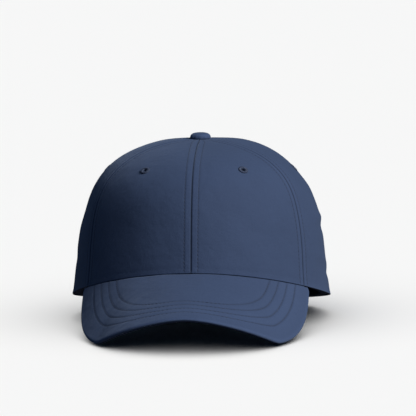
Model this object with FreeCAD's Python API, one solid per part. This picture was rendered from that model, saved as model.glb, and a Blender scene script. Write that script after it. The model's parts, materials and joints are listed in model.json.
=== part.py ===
import FreeCAD, Part
import math
import os

# A six-panel baseball cap with a curved brim and a cloth strap that closes with a flip clasp at the back.
# Millimetres. The front looks along -Y, the wearer's left is +X, and +Z is up. The crown is drawn upright,
# on the plane of its lower edge, and then leaned back on its rear corners, so that the cap stands on them
# and on the two corners of its brim.

Vector = FreeCAD.Vector

# Crown: outer size and form
crown_half_width = 91.5
crown_front_length = 110.0
crown_height = 114.0
crown_fullness = 2.9
crown_lean = 14.4
crown_pitch = 0.24
rear_roundness = 40.0
lean_start_height = 35.0
side_flare = 3.3
side_flare_height = 25.0
hem_arch_rise = 10.0
hem_arch_angle = 95.0
stand_tilt = 10.6
front_seam_angle = 56.0
rear_seam_angle = 120.0
seam_gap = 0.05

# Cloth thicknesses
panel_thickness = 0.7
buckram_thickness = 0.45
tape_thickness = 0.5
cloth_gap = 0.05
tape_width = 13.0
tape_top_radius = 14.0
buckram_top_radius = 30.0
buckram_hem = 4.0
buckram_side_margin = 1.0
tape_end_gap = 2.5

# Half-moon opening at the back
arch_half_width = 39.0
arch_side_height = 9.0
binding_width = 7.0
binding_foot_gap = 4.0

# Sweatband
sweatband_thickness = 1.0
sweatband_height = 30.0
sweatband_fold_height = 2.0
sweatband_end_gap = 2.0
sweatband_hem_gap = 0.3
sweatband_arch_share = 0.5
fold_gap = 0.15
foam_thickness = 1.6
foam_half_angle = 50.0
foam_margin = 5.0
foam_gap = 0.2

# Eyelets
eyelet_outer_radius = 3.5
eyelet_hole_radius = 1.4
eyelet_throat_radius = 2.2
eyelet_flange = 0.5
eyelet_outer_clearance = 0.05
eyelet_inner_clearance = 0.3
eyelet_drill_reach = 6.0
front_eyelet_angle = 30.0
side_eyelet_angle = 89.0
back_eyelet_angle = 150.0
eyelet_climb = 47.4

# Button
button_radius = 7.6
button_height = 3.8
button_cloth_thickness = 0.6
button_shell_thickness = 0.6
button_seat_gap = 0.15
rivet_radius = 1.5
rivet_hole_margin = 1.5
rivet_head_drop = 0.9
rivet_head_radius = 3.0
rivet_head_thickness = 0.8
washer_radius = 6.5
washer_thickness = 0.8
washer_seat_gap = 0.3
metal_gap = 0.05

# Brim
brim_tip_angle = 59.0
brim_projection = 65.0
brim_corner_angle = 46.0
brim_side_angle = 48.0
brim_squareness = 2.4
brim_front_lift = 21.2
brim_arch_power = 1.75
brim_side_power = 2.2
brim_corner_blend = 2.0
brim_tip_trim = 0.985
brim_tip_inset_rate = 1.5
board_thickness = 1.6
board_gap = 0.1
brim_cover_thickness = 0.7
brim_rim_width = 2.6
brim_seam_clearance = 0.2

# Strap and its tab
strap_width = 18.0
strap_thickness = 1.0
strap_bottom = 5.0
strap_sewn_angle = 217.0
strap_tail_angle = 128.0
strap_to_tab_gap = 0.3
strap_to_band_gap = 0.35
tab_thickness = 0.9
tab_sewn_angle = 145.0
tab_width = 16.0
tab_to_panel_gap = 0.1

# Flip clasp, in its own axes: x towards the tail, y outwards from the middle of the strap, z up
clasp_angle = 166.0
rail_thickness = 1.6
rail_clearance = 0.6
clasp_half_length = 8.8
clasp_corner = 1.2
clasp_inner_reach = 1.9
clasp_outer_reach = 4.2
back_plate_thickness = 0.9
back_plate_half_length = 4.0
back_plate_gap = 0.5
pin_radius = 0.75
pin_running_gap = 0.05
pin_station = -6.4
pin_reach = 2.6
bar_radius = 0.7
bar_station = 7.0
barrel_wall = 0.75
lever_length = 11.2
lever_thickness = 0.8
lever_side_gap = 0.3
tooth_length = 1.5
tooth_offset = 4.6
tooth_gap = 0.45

board_half = board_thickness / 2
brim_half = board_half + board_gap + brim_cover_thickness
arch_foot_angle = 180 - math.degrees(math.asin(arch_half_width / crown_half_width))
top_hole_radius = rivet_radius + rivet_hole_margin
strap_top = strap_bottom + strap_width
binding_foot_height = strap_top + binding_foot_gap
rear_stand_y = math.sqrt(crown_half_width**2 - arch_half_width**2)


def side_reach(height, depth):
    """Share of its full width that the crown keeps at this height, `depth` inside the outer face."""
    share = max(0.0, min(1.0, height / (crown_height - depth)))
    return (1 - share**crown_fullness) ** (1 / crown_fullness)


pocket_radius = (crown_half_width - panel_thickness) * side_reach(strap_top, panel_thickness)
tab_outer_radius = pocket_radius - tab_to_panel_gap
tab_inner_radius = tab_outer_radius - tab_thickness
strap_outer_radius = tab_inner_radius - strap_to_tab_gap
strap_inner_radius = strap_outer_radius - strap_thickness
strap_mid_radius = strap_outer_radius - strap_thickness / 2
sweatband_depth = crown_half_width - strap_inner_radius + strap_to_band_gap


def climb_angle(height, depth):
    """Polar angle, up the crown's side curve, of the point at this height, `depth` inside the outer face."""
    share = max(0.0, min(1.0, height / (crown_height - depth)))
    return math.atan2(share, side_reach(height, depth))


def top_angle(radius):
    """Polar angle of the ring of this radius around the button."""
    share = radius / crown_half_width
    climb = (1 - share**crown_fullness) ** (1 / crown_fullness)
    return math.atan2(climb, share)


def flare_share(depth):
    """How much of the side flare a layer follows: the cloth layers all of it, the sweatband none."""
    cloth_depth = panel_thickness + buckram_thickness + tape_thickness + 2 * cloth_gap
    return max(0.0, min(1.0, (sweatband_depth - depth) / (sweatband_depth - cloth_depth)))


def crown_point(phi, angle, depth):
    """A point of the crown: phi degrees round from the front, `angle` up its superellipse side curve."""
    turn = math.radians(phi)
    power = crown_fullness
    radius = (max(math.cos(angle), 0.0) ** power + max(math.sin(angle), 0.0) ** power) ** (-1 / power)
    reach = radius * math.cos(angle)
    height = (crown_height - depth) * radius * math.sin(angle)
    length = crown_front_length if math.cos(turn) > 0 else crown_half_width
    low = max(0.0, 1 - height / side_flare_height)
    flare = side_flare * flare_share(depth) * math.sin(turn) ** 4 * low**2
    high = max(0.0, (height - lean_start_height) / (crown_height - depth - lean_start_height))
    x = ((crown_half_width - depth) * reach + flare) * math.sin(turn)
    y = -((length - depth) * reach + flare) * math.cos(turn)
    pitch = y / (1 + max(0.0, y) / rear_roundness)
    return Vector(x, y - crown_lean * high**2, height + crown_pitch * pitch * high**2)


def hem_height(phi):
    """Height of the crown's lower edge: it arches up over the brim."""
    turn = abs((phi + 180) % 360 - 180)
    if turn >= hem_arch_angle:
        return 0.0
    return hem_arch_rise * math.cos(math.pi / 2 * turn / hem_arch_angle) ** 2


def stand(point):
    """Leans a point of the upright crown back about its rear corners."""
    tilt = math.radians(stand_tilt)
    y = point.y - rear_stand_y
    return Vector(
        point.x,
        y * math.cos(tilt) + point.z * math.sin(tilt) + rear_stand_y,
        point.z * math.cos(tilt) - y * math.sin(tilt),
    )


def lean_back(shape):
    """The same lean for a whole shape."""
    leaned = shape.copy()
    leaned.rotate(Vector(0, rear_stand_y, 0), Vector(1, 0, 0), -stand_tilt)
    return leaned


def surface_through(rows):
    surface = Part.BSplineSurface()
    surface.interpolate(rows)
    return surface


def solid_between(outer_rows, inner_rows):
    """The solid between two grids of points, closed by ruled faces round the four sides."""
    outer = surface_through(outer_rows)
    inner = surface_through(inner_rows)
    u0, u1, v0, v1 = outer.bounds()
    p0, p1, q0, q1 = inner.bounds()
    faces = [outer.toShape(), inner.toShape()]
    faces.append(Part.makeRuledSurface(outer.uIso(u0).toShape(), inner.uIso(p0).toShape()))
    faces.append(Part.makeRuledSurface(outer.uIso(u1).toShape(), inner.uIso(p1).toShape()))
    faces.append(Part.makeRuledSurface(outer.vIso(v0).toShape(), inner.vIso(q0).toShape()))
    faces.append(Part.makeRuledSurface(outer.vIso(v1).toShape(), inner.vIso(q1).toShape()))
    shell = Part.Shell(faces)
    shell.sewShape()
    solid = Part.Solid(shell)
    if solid.Volume < 0:
        solid.reverse()
    return solid


def spread(first, last, count):
    return [first + (last - first) * i / (count - 1) for i in range(count)]


def crown_layer(outer_depth, inner_depth, side_angles, low_height, top, columns=13, rows=21):
    """A curved layer of the crown between two depths.

    side_angles(share) gives the two side angles at a share of the climb, low_height(phi) gives the height
    of the lower edge, and top is the polar angle, or a height function, of the upper edge."""
    grids = []
    for depth in (outer_depth, inner_depth):
        grid = []
        for across in spread(0, 1, columns):
            line = []
            for share in spread(0, 1, rows):
                first, last = side_angles(share)
                phi = first + (last - first) * across
                low = climb_angle(low_height(phi), depth)
                high = climb_angle(top(phi), depth) if callable(top) else top
                line.append(crown_point(phi, low + (high - low) * share, depth))
            grid.append(line)
        grids.append(grid)
    return solid_between(grids[0], grids[1])


def arch_prism(offset):
    """A prism along Y over the half-moon opening's outline, made larger by `offset`."""
    half = arch_half_width + offset
    foot = -arch_side_height
    low_left = Vector(-half, 0, foot)
    high_left = Vector(-half, 0, arch_side_height)
    crest = Vector(0, 0, arch_side_height + half)
    high_right = Vector(half, 0, arch_side_height)
    low_right = Vector(half, 0, foot)
    edges = [
        Part.makeLine(low_left, high_left),
        Part.Arc(high_left, crest, high_right).toShape(),
        Part.makeLine(high_right, low_right),
        Part.makeLine(low_right, low_left),
    ]
    return Part.Face(Part.Wire(edges)).extrude(Vector(0, 2 * crown_half_width, 0))


def eyelet_frame(phi):
    """The eyelet's centre on the crown's outer face, and its outward normal."""
    angle = math.radians(eyelet_climb)
    step = 0.01
    centre = crown_point(phi, angle, 0)
    along = crown_point(phi + 1, angle, 0) - crown_point(phi - 1, angle, 0)
    up = crown_point(phi, angle + step, 0) - crown_point(phi, angle - step, 0)
    normal = along.cross(up)
    normal.normalize()
    return centre, normal


def place_on_crown(shape, phi):
    centre, normal = eyelet_frame(phi)
    placed = shape.copy()
    placed.Placement = FreeCAD.Placement(centre, FreeCAD.Rotation(Vector(0, 0, 1), normal))
    return placed


def eyelet_hole(phi):
    radius = eyelet_throat_radius + cloth_gap
    drill = Part.makeCylinder(radius, 2 * eyelet_drill_reach, Vector(0, 0, -eyelet_drill_reach))
    return place_on_crown(drill, phi)


def make_eyelet(phi, wall):
    """A sewn eyelet: a throat through the cloth, with a rounded flange on each side of it."""
    top = eyelet_outer_clearance
    bottom = -wall - eyelet_inner_clearance
    hole = eyelet_hole_radius
    throat = eyelet_throat_radius
    rim = eyelet_outer_radius
    edges = [
        Part.makeLine(Vector(hole, 0, bottom - eyelet_flange / 2), Vector(hole, 0, top + eyelet_flange / 2)),
        Part.Arc(
            Vector(hole, 0, top + eyelet_flange / 2),
            Vector((hole + rim) / 2, 0, top + eyelet_flange),
            Vector(rim, 0, top),
        ).toShape(),
        Part.makeLine(Vector(rim, 0, top), Vector(throat, 0, top)),
        Part.makeLine(Vector(throat, 0, top), Vector(throat, 0, bottom)),
        Part.makeLine(Vector(throat, 0, bottom), Vector(rim, 0, bottom)),
        Part.Arc(
            Vector(rim, 0, bottom),
            Vector((hole + rim) / 2, 0, bottom - eyelet_flange),
            Vector(hole, 0, bottom - eyelet_flange / 2),
        ).toShape(),
    ]
    ring = Part.Face(Part.Wire(edges)).revolve(Vector(0, 0, 0), Vector(0, 0, 1), 360)
    return place_on_crown(ring, phi)


def make_panels():
    """The six gores, each with its eyelet hole; the two back ones share the half-moon opening."""
    seams = [0, front_seam_angle, rear_seam_angle, 180]
    eyelets = [front_eyelet_angle, side_eyelet_angle, back_eyelet_angle]
    top = top_angle(top_hole_radius)
    half_gap = math.degrees(seam_gap / 2 / crown_half_width)
    panels = {}
    for index, place in enumerate(("front", "side", "back")):
        for side, sign in (("left", 1), ("right", -1)):
            first = sign * (seams[index] + half_gap)
            last = sign * (seams[index + 1] - half_gap)
            panel = crown_layer(0, panel_thickness, lambda share: (first, last), hem_height, top, 17, 25)
            panel = panel.cut(eyelet_hole(sign * eyelets[index]))
            if place == "back":
                panel = panel.cut(arch_prism(0))
            panels[f"{place}_{side}_panel"] = panel
    return panels


def make_eyelets():
    angles = {"front": front_eyelet_angle, "side": side_eyelet_angle, "back": back_eyelet_angle}
    eyelets = {}
    for place, angle in angles.items():
        wall = panel_thickness
        if place == "front":
            wall += cloth_gap + buckram_thickness
        for side, sign in (("left", 1), ("right", -1)):
            eyelets[f"{place}_{side}_eyelet"] = make_eyelet(sign * angle, wall)
    return eyelets


def make_buckram():
    """The light backing of the two front panels."""
    outer = panel_thickness + cloth_gap
    margin = math.degrees(buckram_side_margin / crown_half_width)
    backing = {}
    for side, sign in (("left", 1), ("right", -1)):
        first = sign * margin
        last = sign * (front_seam_angle - margin)
        layer = crown_layer(
            outer,
            outer + buckram_thickness,
            lambda share: (first, last),
            lambda phi: hem_height(phi) + buckram_hem,
            top_angle(buckram_top_radius),
            15,
            21,
        )
        backing[f"front_{side}_buckram"] = layer.cut(eyelet_hole(sign * front_eyelet_angle))
    return backing


def make_tape(phi, outer, low):
    """A tape over the inside of one seam, of the same width all the way up."""
    bottom = climb_angle(low, 0)
    top = top_angle(tape_top_radius)

    def sides(share):
        angle = bottom + (top - bottom) * share
        here = crown_point(phi, angle, outer)
        lean = crown_point(90, angle, outer).y
        radius = math.hypot(here.x, here.y - lean)
        half = math.degrees(tape_width / 2 / radius)
        return phi - half, phi + half

    return crown_layer(outer, outer + tape_thickness, sides, lambda angle: low, top, 7, 25)


def make_seam_tapes():
    front_depth = panel_thickness + buckram_thickness + 2 * cloth_gap
    rear_depth = panel_thickness + cloth_gap
    above_band = sweatband_height + tape_end_gap
    above_arch = arch_side_height + arch_half_width + binding_width + tape_end_gap
    over_brim = hem_arch_rise + above_band
    return {
        "front_centre_seam_tape": make_tape(0, front_depth, over_brim),
        "front_left_seam_tape": make_tape(front_seam_angle, front_depth, above_band),
        "front_right_seam_tape": make_tape(-front_seam_angle, front_depth, above_band),
        "rear_left_seam_tape": make_tape(rear_seam_angle, rear_depth, above_band),
        "rear_right_seam_tape": make_tape(-rear_seam_angle, rear_depth, above_band),
        "rear_centre_seam_tape": make_tape(180, rear_depth, above_arch),
    }


def make_binding():
    """The tape that finishes the half-moon opening, on the inside of the back panels."""
    outer = panel_thickness + cloth_gap
    half = 2 * (180 - arch_foot_angle)
    layer = crown_layer(
        outer,
        outer + tape_thickness,
        lambda share: (180 - half, 180 + half),
        lambda phi: binding_foot_height,
        lambda phi: arch_side_height + arch_half_width + 2 * binding_width,
        31,
        9,
    )
    return layer.common(arch_prism(binding_width)).cut(arch_prism(0))


def make_sweatband():
    """The band that sits on the head: a wall, folded out at its foot to the crown's lower edge."""
    end = arch_foot_angle - math.degrees(sweatband_end_gap / crown_half_width)
    fold_end = end - math.degrees(sweatband_hem_gap / crown_half_width)
    wall = crown_layer(
        sweatband_depth,
        sweatband_depth + sweatband_thickness,
        lambda share: (-end, end),
        lambda phi: hem_height(phi) + sweatband_hem_gap,
        lambda phi: hem_height(phi) * sweatband_arch_share + sweatband_height,
        65,
        7,
    )
    fold = crown_layer(
        panel_thickness + fold_gap,
        sweatband_depth + sweatband_thickness / 2,
        lambda share: (-fold_end, fold_end),
        lambda phi: hem_height(phi) + 2 * sweatband_hem_gap,
        lambda phi: hem_height(phi) + 2 * sweatband_hem_gap + sweatband_fold_height,
        65,
        3,
    )
    return wall.fuse(fold)


def make_foam():
    """The soft strip behind the forehead, between the front panels and the sweatband."""
    inner = sweatband_depth - foam_gap
    return crown_layer(
        inner - foam_thickness,
        inner,
        lambda share: (-foam_half_angle, foam_half_angle),
        lambda phi: hem_height(phi) + foam_margin,
        lambda phi: hem_height(phi) * sweatband_arch_share + sweatband_height - foam_margin,
        33,
        7,
    )


def dome(radius, height, base):
    """A shallow dome: a cap of a sphere, of this radius and height, on a flat base."""
    ball = (radius**2 + height**2) / (2 * height)
    centre = Vector(0, 0, base + height - ball)
    latitude = math.degrees(math.asin((ball - height) / ball))
    return Part.makeSphere(ball, centre, Vector(0, 0, 1), latitude, 90, 360)


def make_button():
    """The covered button: cloth over a metal dome, riveted through the crown to a washer inside."""
    base = button_seat_gap
    cloth = button_cloth_thickness
    shell = button_shell_thickness
    cover = dome(button_radius, button_height, base)
    cover = cover.cut(dome(button_radius - cloth, button_height - cloth, base - 0.001))
    cap_radius = button_radius - cloth - metal_gap
    cap_height = button_height - cloth - metal_gap
    cap = dome(cap_radius, cap_height, base)
    cap = cap.cut(dome(cap_radius - shell, cap_height - shell, base - 0.001))
    head_top = base + cap_height - shell - rivet_head_drop
    washer_top = -panel_thickness - washer_seat_gap
    washer_foot = Vector(0, 0, washer_top - washer_thickness)
    washer = Part.makeCylinder(washer_radius, washer_thickness, washer_foot)
    washer = washer.cut(Part.makeCylinder(rivet_radius + metal_gap, washer_thickness, washer_foot))
    foot = washer_top - washer_thickness - metal_gap
    rivet = Part.makeCylinder(rivet_radius, head_top - foot, Vector(0, 0, foot))
    ends = [
        Part.makeCylinder(rivet_head_radius, rivet_head_thickness, Vector(0, 0, top - rivet_head_thickness))
        for top in (head_top, foot)
    ]
    rivet = rivet.fuse(ends)
    pieces = {"button_cover": cover, "button_shell": cap, "button_rivet": rivet, "button_washer": washer}
    for shape in pieces.values():
        shape.rotate(Vector(0, 0, 0), Vector(1, 0, 0), math.degrees(math.atan(crown_pitch)))
        shape.translate(Vector(0, -crown_lean, crown_height))
    return pieces


def brim_seam_point(share):
    """The brim's sewn edge, under the crown's front lower edge, as the cap stands."""
    phi = share * brim_tip_angle
    depth = panel_thickness / 2
    edge = crown_point(phi, climb_angle(hem_height(phi), depth), depth)
    edge.z -= brim_half + brim_seam_clearance
    return stand(edge)


def brim_edge_point(share):
    """The brim's outer edge: a superellipse in plan, arched at the front and lifted at its two tips."""
    tip = brim_seam_point(1)
    front = brim_seam_point(0).y - brim_projection
    turn = math.radians(90 * abs(share))
    power = brim_squareness
    radius = (abs(math.cos(turn)) ** power + math.sin(turn) ** power) ** (-1 / power)
    x = math.copysign(tip.x * radius * math.sin(turn), share)
    y = tip.y - (tip.y - front) * radius * math.cos(turn)
    round_turn = 90 * abs(share)
    arch = brim_front_lift * (1 - (round_turn / brim_corner_angle) ** brim_arch_power)
    arch = (arch + math.sqrt(arch**2 + brim_corner_blend**2)) / 2
    side = max(0.0, round_turn - brim_side_angle) / (90 - brim_side_angle)
    height = arch + (tip.z - brim_half) * side**brim_side_power
    return Vector(x, y, height + brim_half)


def brim_middle(share, out):
    inner = brim_seam_point(share)
    return inner + (brim_edge_point(share) - inner) * out


def brim_point(share, out, lift):
    """A point of the brim: share runs from tip to tip, out from seam to edge, lift is off its middle."""
    step = 0.002
    along = brim_middle(share + step, out) - brim_middle(share - step, out)
    outward = brim_middle(share, min(out + step, 1)) - brim_middle(share, min(out + step, 1) - 2 * step)
    normal = outward.cross(along)
    normal.normalize()
    return brim_middle(share, out) + normal * lift


def brim_layer(first_lift, last_lift, inset):
    """A layer of the brim between two lifts, kept `inset` inside its outer edge and tips.

    Each lift is a function of the distance in from the brim's outer edge."""
    trim = brim_tip_trim - inset / crown_half_width * brim_tip_inset_rate
    outs = spread(0, 1, 9)[:-1] + [0.93, 0.965, 1]
    grids = []
    for lift in (last_lift, first_lift):
        grid = []
        for share in spread(-trim, trim, 61):
            width = (brim_edge_point(share) - brim_seam_point(share)).Length
            reach = 1 - min(inset / width, 0.8)
            grid.append([brim_point(share, out * reach, lift((1 - out) * width)) for out in outs])
        grids.append(grid)
    return solid_between(grids[0], grids[1])


def cover_inner_lift(inward):
    """Lift of a cover's inner face: it lies on the board, and comes down to the seam round its edge."""
    turn = min(1.0, inward / brim_rim_width)
    return cloth_gap / 2 + (board_half + board_gap - cloth_gap / 2) * math.sin(math.pi / 2 * turn)


def make_brim():
    board = brim_layer(lambda inward: -board_half, lambda inward: board_half, brim_rim_width)
    top = brim_layer(cover_inner_lift, lambda inward: brim_half, 0)
    under = brim_layer(lambda inward: -brim_half, lambda inward: -cover_inner_lift(inward), 0)
    return {"brim_board": board, "brim_top_cover": top, "brim_under_cover": under}


def ring_sector(inner, outer, low, height, first, last):
    """A sector of an upright ring about the crown's axis, from one angle round from the front to another."""
    start = first - 90
    disc = Part.makeCylinder(outer, height, Vector(0, 0, low), Vector(0, 0, 1), last - first)
    core = Part.makeCylinder(inner, height + 2, Vector(0, 0, low - 1))
    sector = disc.cut(core)
    sector.rotate(Vector(0, 0, 0), Vector(0, 0, 1), start)
    return sector


def place_clasp(shape):
    """Moves a shape from the clasp's own axes to its place on the strap."""
    placed = shape.copy()
    placed.translate(Vector(0, strap_mid_radius, 0))
    placed.rotate(Vector(0, 0, 0), Vector(0, 0, 1), clasp_angle + 180)
    return placed


def rounded_plate(x0, x1, y0, y1, z, thickness, corner):
    plate = Part.makeBox(x1 - x0, y1 - y0, thickness, Vector(x0, y0, z))
    upright = [e for e in plate.Edges if abs(e.Vertexes[0].Z - e.Vertexes[1].Z) > thickness / 2]
    return plate.makeFillet(corner, upright)


def post(x, y, radius, low, high):
    return Part.makeCylinder(radius, high - low, Vector(x, y, low))


def make_strap():
    """The cloth strap: sewn behind the right back panel, it runs round the opening into the left pocket."""
    strap = ring_sector(
        strap_inner_radius, strap_outer_radius, strap_bottom, strap_width, strap_tail_angle, strap_sewn_angle
    )
    return {"adjuster_strap": strap}


def clasp_levels():
    """Heights of the rails' inner and outer faces."""
    low = strap_bottom - rail_clearance
    high = strap_top + rail_clearance
    return low - rail_thickness, low, high, high + rail_thickness


def clasp_pin_foot():
    """The pin's lower end, in the upright crown's axes."""
    turn = math.radians(clasp_angle + 180)
    out = strap_mid_radius + pin_reach
    bottom = clasp_levels()[0]
    return Vector(
        pin_station * math.cos(turn) - out * math.sin(turn),
        pin_station * math.sin(turn) + out * math.cos(turn),
        bottom,
    )


def make_tab():
    """The loop that holds the clasp: a short band sewn inside the left back panel, turned round the bar."""
    bottom, low, high, top = clasp_levels()
    middle = (low + high) / 2
    foot = middle - tab_width / 2
    bar_turn = math.degrees(bar_station / strap_mid_radius)
    band_end = clasp_angle - bar_turn
    band = ring_sector(tab_inner_radius, tab_outer_radius, foot, tab_width, tab_sewn_angle, band_end)
    hole = bar_radius + metal_gap
    loop = post(bar_station, pin_reach, hole + tab_thickness, foot, foot + tab_width)
    tab = band.fuse(place_clasp(loop))
    return tab.cut(place_clasp(post(bar_station, pin_reach, hole, foot - 1, foot + tab_width + 1)))


def make_clasp():
    """The flip clasp: two rails, the plate behind the strap, the tab's bar, the pin and the lever on it."""
    bottom, low, high, top = clasp_levels()
    rails = []
    for level in (bottom, high):
        rails.append(
            rounded_plate(
                -clasp_half_length,
                clasp_half_length,
                -clasp_inner_reach,
                clasp_outer_reach,
                level,
                rail_thickness,
                clasp_corner,
            )
        )
    plate_face = -strap_thickness / 2 - back_plate_gap
    plate = Part.makeBox(
        2 * back_plate_half_length,
        back_plate_thickness,
        high - low + rail_thickness,
        Vector(-back_plate_half_length, plate_face - back_plate_thickness, low - rail_thickness / 2),
    )
    bar = post(bar_station, pin_reach, bar_radius, low - rail_thickness / 2, high + rail_thickness / 2)
    frame = rails[0].fuse([rails[1], plate, bar])
    frame = frame.cut(post(pin_station, pin_reach, pin_radius + pin_running_gap, bottom - 1, top + 1))
    pin = post(pin_station, pin_reach, pin_radius, bottom, top)
    foot = low + lever_side_gap
    width = high - low - 2 * lever_side_gap
    bore = pin_radius + pin_running_gap
    barrel = post(pin_station, pin_reach, bore + barrel_wall, foot, foot + width)
    outer_face = pin_reach + bore + barrel_wall
    cover = Part.makeBox(
        lever_length, lever_thickness, width, Vector(pin_station, outer_face - lever_thickness, foot)
    )
    tooth_face = strap_thickness / 2 + tooth_gap
    tooth = Part.makeBox(
        tooth_length,
        outer_face - lever_thickness / 2 - tooth_face,
        width,
        Vector(pin_station + tooth_offset, tooth_face, foot),
    )
    lever = barrel.fuse([cover, tooth])
    lever = lever.cut(post(pin_station, pin_reach, bore, foot - 1, foot + width + 1))
    pieces = {"clasp_frame": frame, "clasp_pin": pin, "clasp_lever": lever}
    return {name: place_clasp(shape) for name, shape in pieces.items()}


def main():
    crown = {}
    crown.update(make_panels())
    crown.update(make_eyelets())
    crown.update(make_buckram())
    crown.update(make_seam_tapes())
    crown["back_arch_binding"] = make_binding()
    crown["sweatband"] = make_sweatband()
    crown["sweatband_foam"] = make_foam()
    crown.update(make_button())
    crown.update(make_strap())
    crown["strap_tab"] = make_tab()
    crown.update(make_clasp())
    cap = {name: lean_back(shape) for name, shape in crown.items()}
    cap.update(make_brim())

    boxes = [shape.optimalBoundingBox() for shape in cap.values()]
    middle_y = (min(box.YMin for box in boxes) + max(box.YMax for box in boxes)) / 2
    floor = min(box.ZMin for box in boxes)
    os.makedirs("parts", exist_ok=True)
    for name, shape in cap.items():
        shape.translate(Vector(0, -middle_y, -floor))
        shape.exportStep(f"parts/{name}.step")
        solids = len(shape.Solids)
        print(f"{name:24s} solids {solids} volume {shape.Volume:9.1f} valid {shape.isValid()}")
    axis_foot = stand(Vector(0, 0, 0)) - Vector(0, middle_y, floor)
    axis = stand(Vector(0, 0, 1)) - stand(Vector(0, 0, 0))
    pin_foot = stand(clasp_pin_foot()) - Vector(0, middle_y, floor)
    print(f"crown axis through {axis_foot}, along {axis}")
    print(f"clasp pin through {pin_foot}")
    print(f"rear corners at z {-floor:.3f}, {len(cap)} nodes")


main()
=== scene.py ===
# %% [markdown]
# # A six-panel baseball cap, sewn in numpy
# The cap arrives as a CAD assembly: it says where every piece is and how big it is. This notebook makes the
# looks of each piece around it: soft twill panels, seams with two rows of stitching, a stitched brim,
# embroidered eyelets, a covered button, and the strap and clasp at the back.

# %% Load the frame
import json
import bmesh
import bpy
import numpy as np
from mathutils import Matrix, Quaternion, Vector

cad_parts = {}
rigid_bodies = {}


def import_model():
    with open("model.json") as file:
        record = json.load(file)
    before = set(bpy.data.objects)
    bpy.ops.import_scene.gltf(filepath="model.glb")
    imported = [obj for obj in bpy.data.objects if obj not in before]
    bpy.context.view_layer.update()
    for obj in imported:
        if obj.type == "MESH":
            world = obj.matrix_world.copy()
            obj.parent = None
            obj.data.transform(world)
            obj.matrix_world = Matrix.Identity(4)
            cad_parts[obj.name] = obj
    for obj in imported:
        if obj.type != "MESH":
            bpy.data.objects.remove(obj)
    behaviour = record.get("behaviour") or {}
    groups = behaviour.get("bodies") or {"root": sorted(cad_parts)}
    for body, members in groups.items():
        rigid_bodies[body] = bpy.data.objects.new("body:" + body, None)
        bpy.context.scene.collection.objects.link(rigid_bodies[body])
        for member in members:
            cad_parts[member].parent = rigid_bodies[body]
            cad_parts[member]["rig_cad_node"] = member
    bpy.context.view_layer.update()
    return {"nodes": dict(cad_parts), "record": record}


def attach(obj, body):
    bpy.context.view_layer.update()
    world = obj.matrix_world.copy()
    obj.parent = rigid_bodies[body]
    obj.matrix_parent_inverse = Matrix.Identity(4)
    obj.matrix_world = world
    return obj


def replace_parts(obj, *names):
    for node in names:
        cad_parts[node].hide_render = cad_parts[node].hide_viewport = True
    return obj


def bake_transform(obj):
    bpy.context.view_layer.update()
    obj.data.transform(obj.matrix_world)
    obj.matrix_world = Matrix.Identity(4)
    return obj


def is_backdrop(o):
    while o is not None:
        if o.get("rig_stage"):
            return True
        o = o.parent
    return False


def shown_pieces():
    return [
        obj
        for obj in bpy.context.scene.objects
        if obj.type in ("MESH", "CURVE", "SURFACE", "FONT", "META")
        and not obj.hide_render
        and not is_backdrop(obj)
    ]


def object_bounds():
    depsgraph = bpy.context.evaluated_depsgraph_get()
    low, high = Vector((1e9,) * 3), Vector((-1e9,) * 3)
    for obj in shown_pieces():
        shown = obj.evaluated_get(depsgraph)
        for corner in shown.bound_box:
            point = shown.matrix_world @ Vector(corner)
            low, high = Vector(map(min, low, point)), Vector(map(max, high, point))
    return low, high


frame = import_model()

# %% [markdown]
# ## The camera and the light
# A long lens from far away keeps the cap's sides nearly parallel. The studio lights the cap and the floor
# apart: a soft key from the right falls on the cap, and a broad, warmer light overhead falls on the floor
# alone, so the shadow lies right under the cap. Light linking does that here. Both are sun lamps with a wide
# angle, which light a floor evenly to the horizon, as an area lamp would not. A weak blue sky fills shadows.


# %% Camera
def direction(turn, climb):
    """The unit vector `turn` degrees round to the right of the front and `climb` degrees up."""
    turn, climb = np.radians(turn), np.radians(climb)
    return Vector((np.sin(turn) * np.cos(climb), -np.cos(turn) * np.cos(climb), np.sin(climb)))


cap_middle = Vector((0.0, 0.0365, 0.070))
camera_turn, camera_climb, camera_roll, camera_distance = 3.9, 6.3, -0.7, 1.6
camera_data = bpy.data.cameras.new("camera")
camera_data.sensor_width = 36.0
camera_data.lens = 189.1
camera_data.shift_x = 0.0179
camera_data.shift_y = 0.0310
camera = bpy.data.objects.new("camera", camera_data)
away = direction(camera_turn, camera_climb)
rolled = Quaternion((0, 0, 1), np.radians(camera_roll))
camera.location = cap_middle + away * camera_distance
camera.rotation_euler = (away.to_track_quat("Z", "Y") @ rolled).to_euler()
bpy.context.collection.objects.link(camera)
bpy.context.scene.camera = camera
bpy.context.scene.view_settings.view_transform = "Standard"
print("camera at", [round(c, 3) for c in camera.location])


# %% Light
def sun(name, turn, climb, width, strength, colour):
    """A sun lamp whose light comes from `turn` degrees round to the right and `climb` degrees up."""
    data = bpy.data.lights.new(name, "SUN")
    data.energy = strength
    data.angle = np.radians(width)
    data.color = colour
    lamp = bpy.data.objects.new(name, data)
    lamp.rotation_euler = direction(turn, climb).to_track_quat("Z", "Y").to_euler()
    bpy.context.collection.objects.link(lamp)
    return lamp


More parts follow.
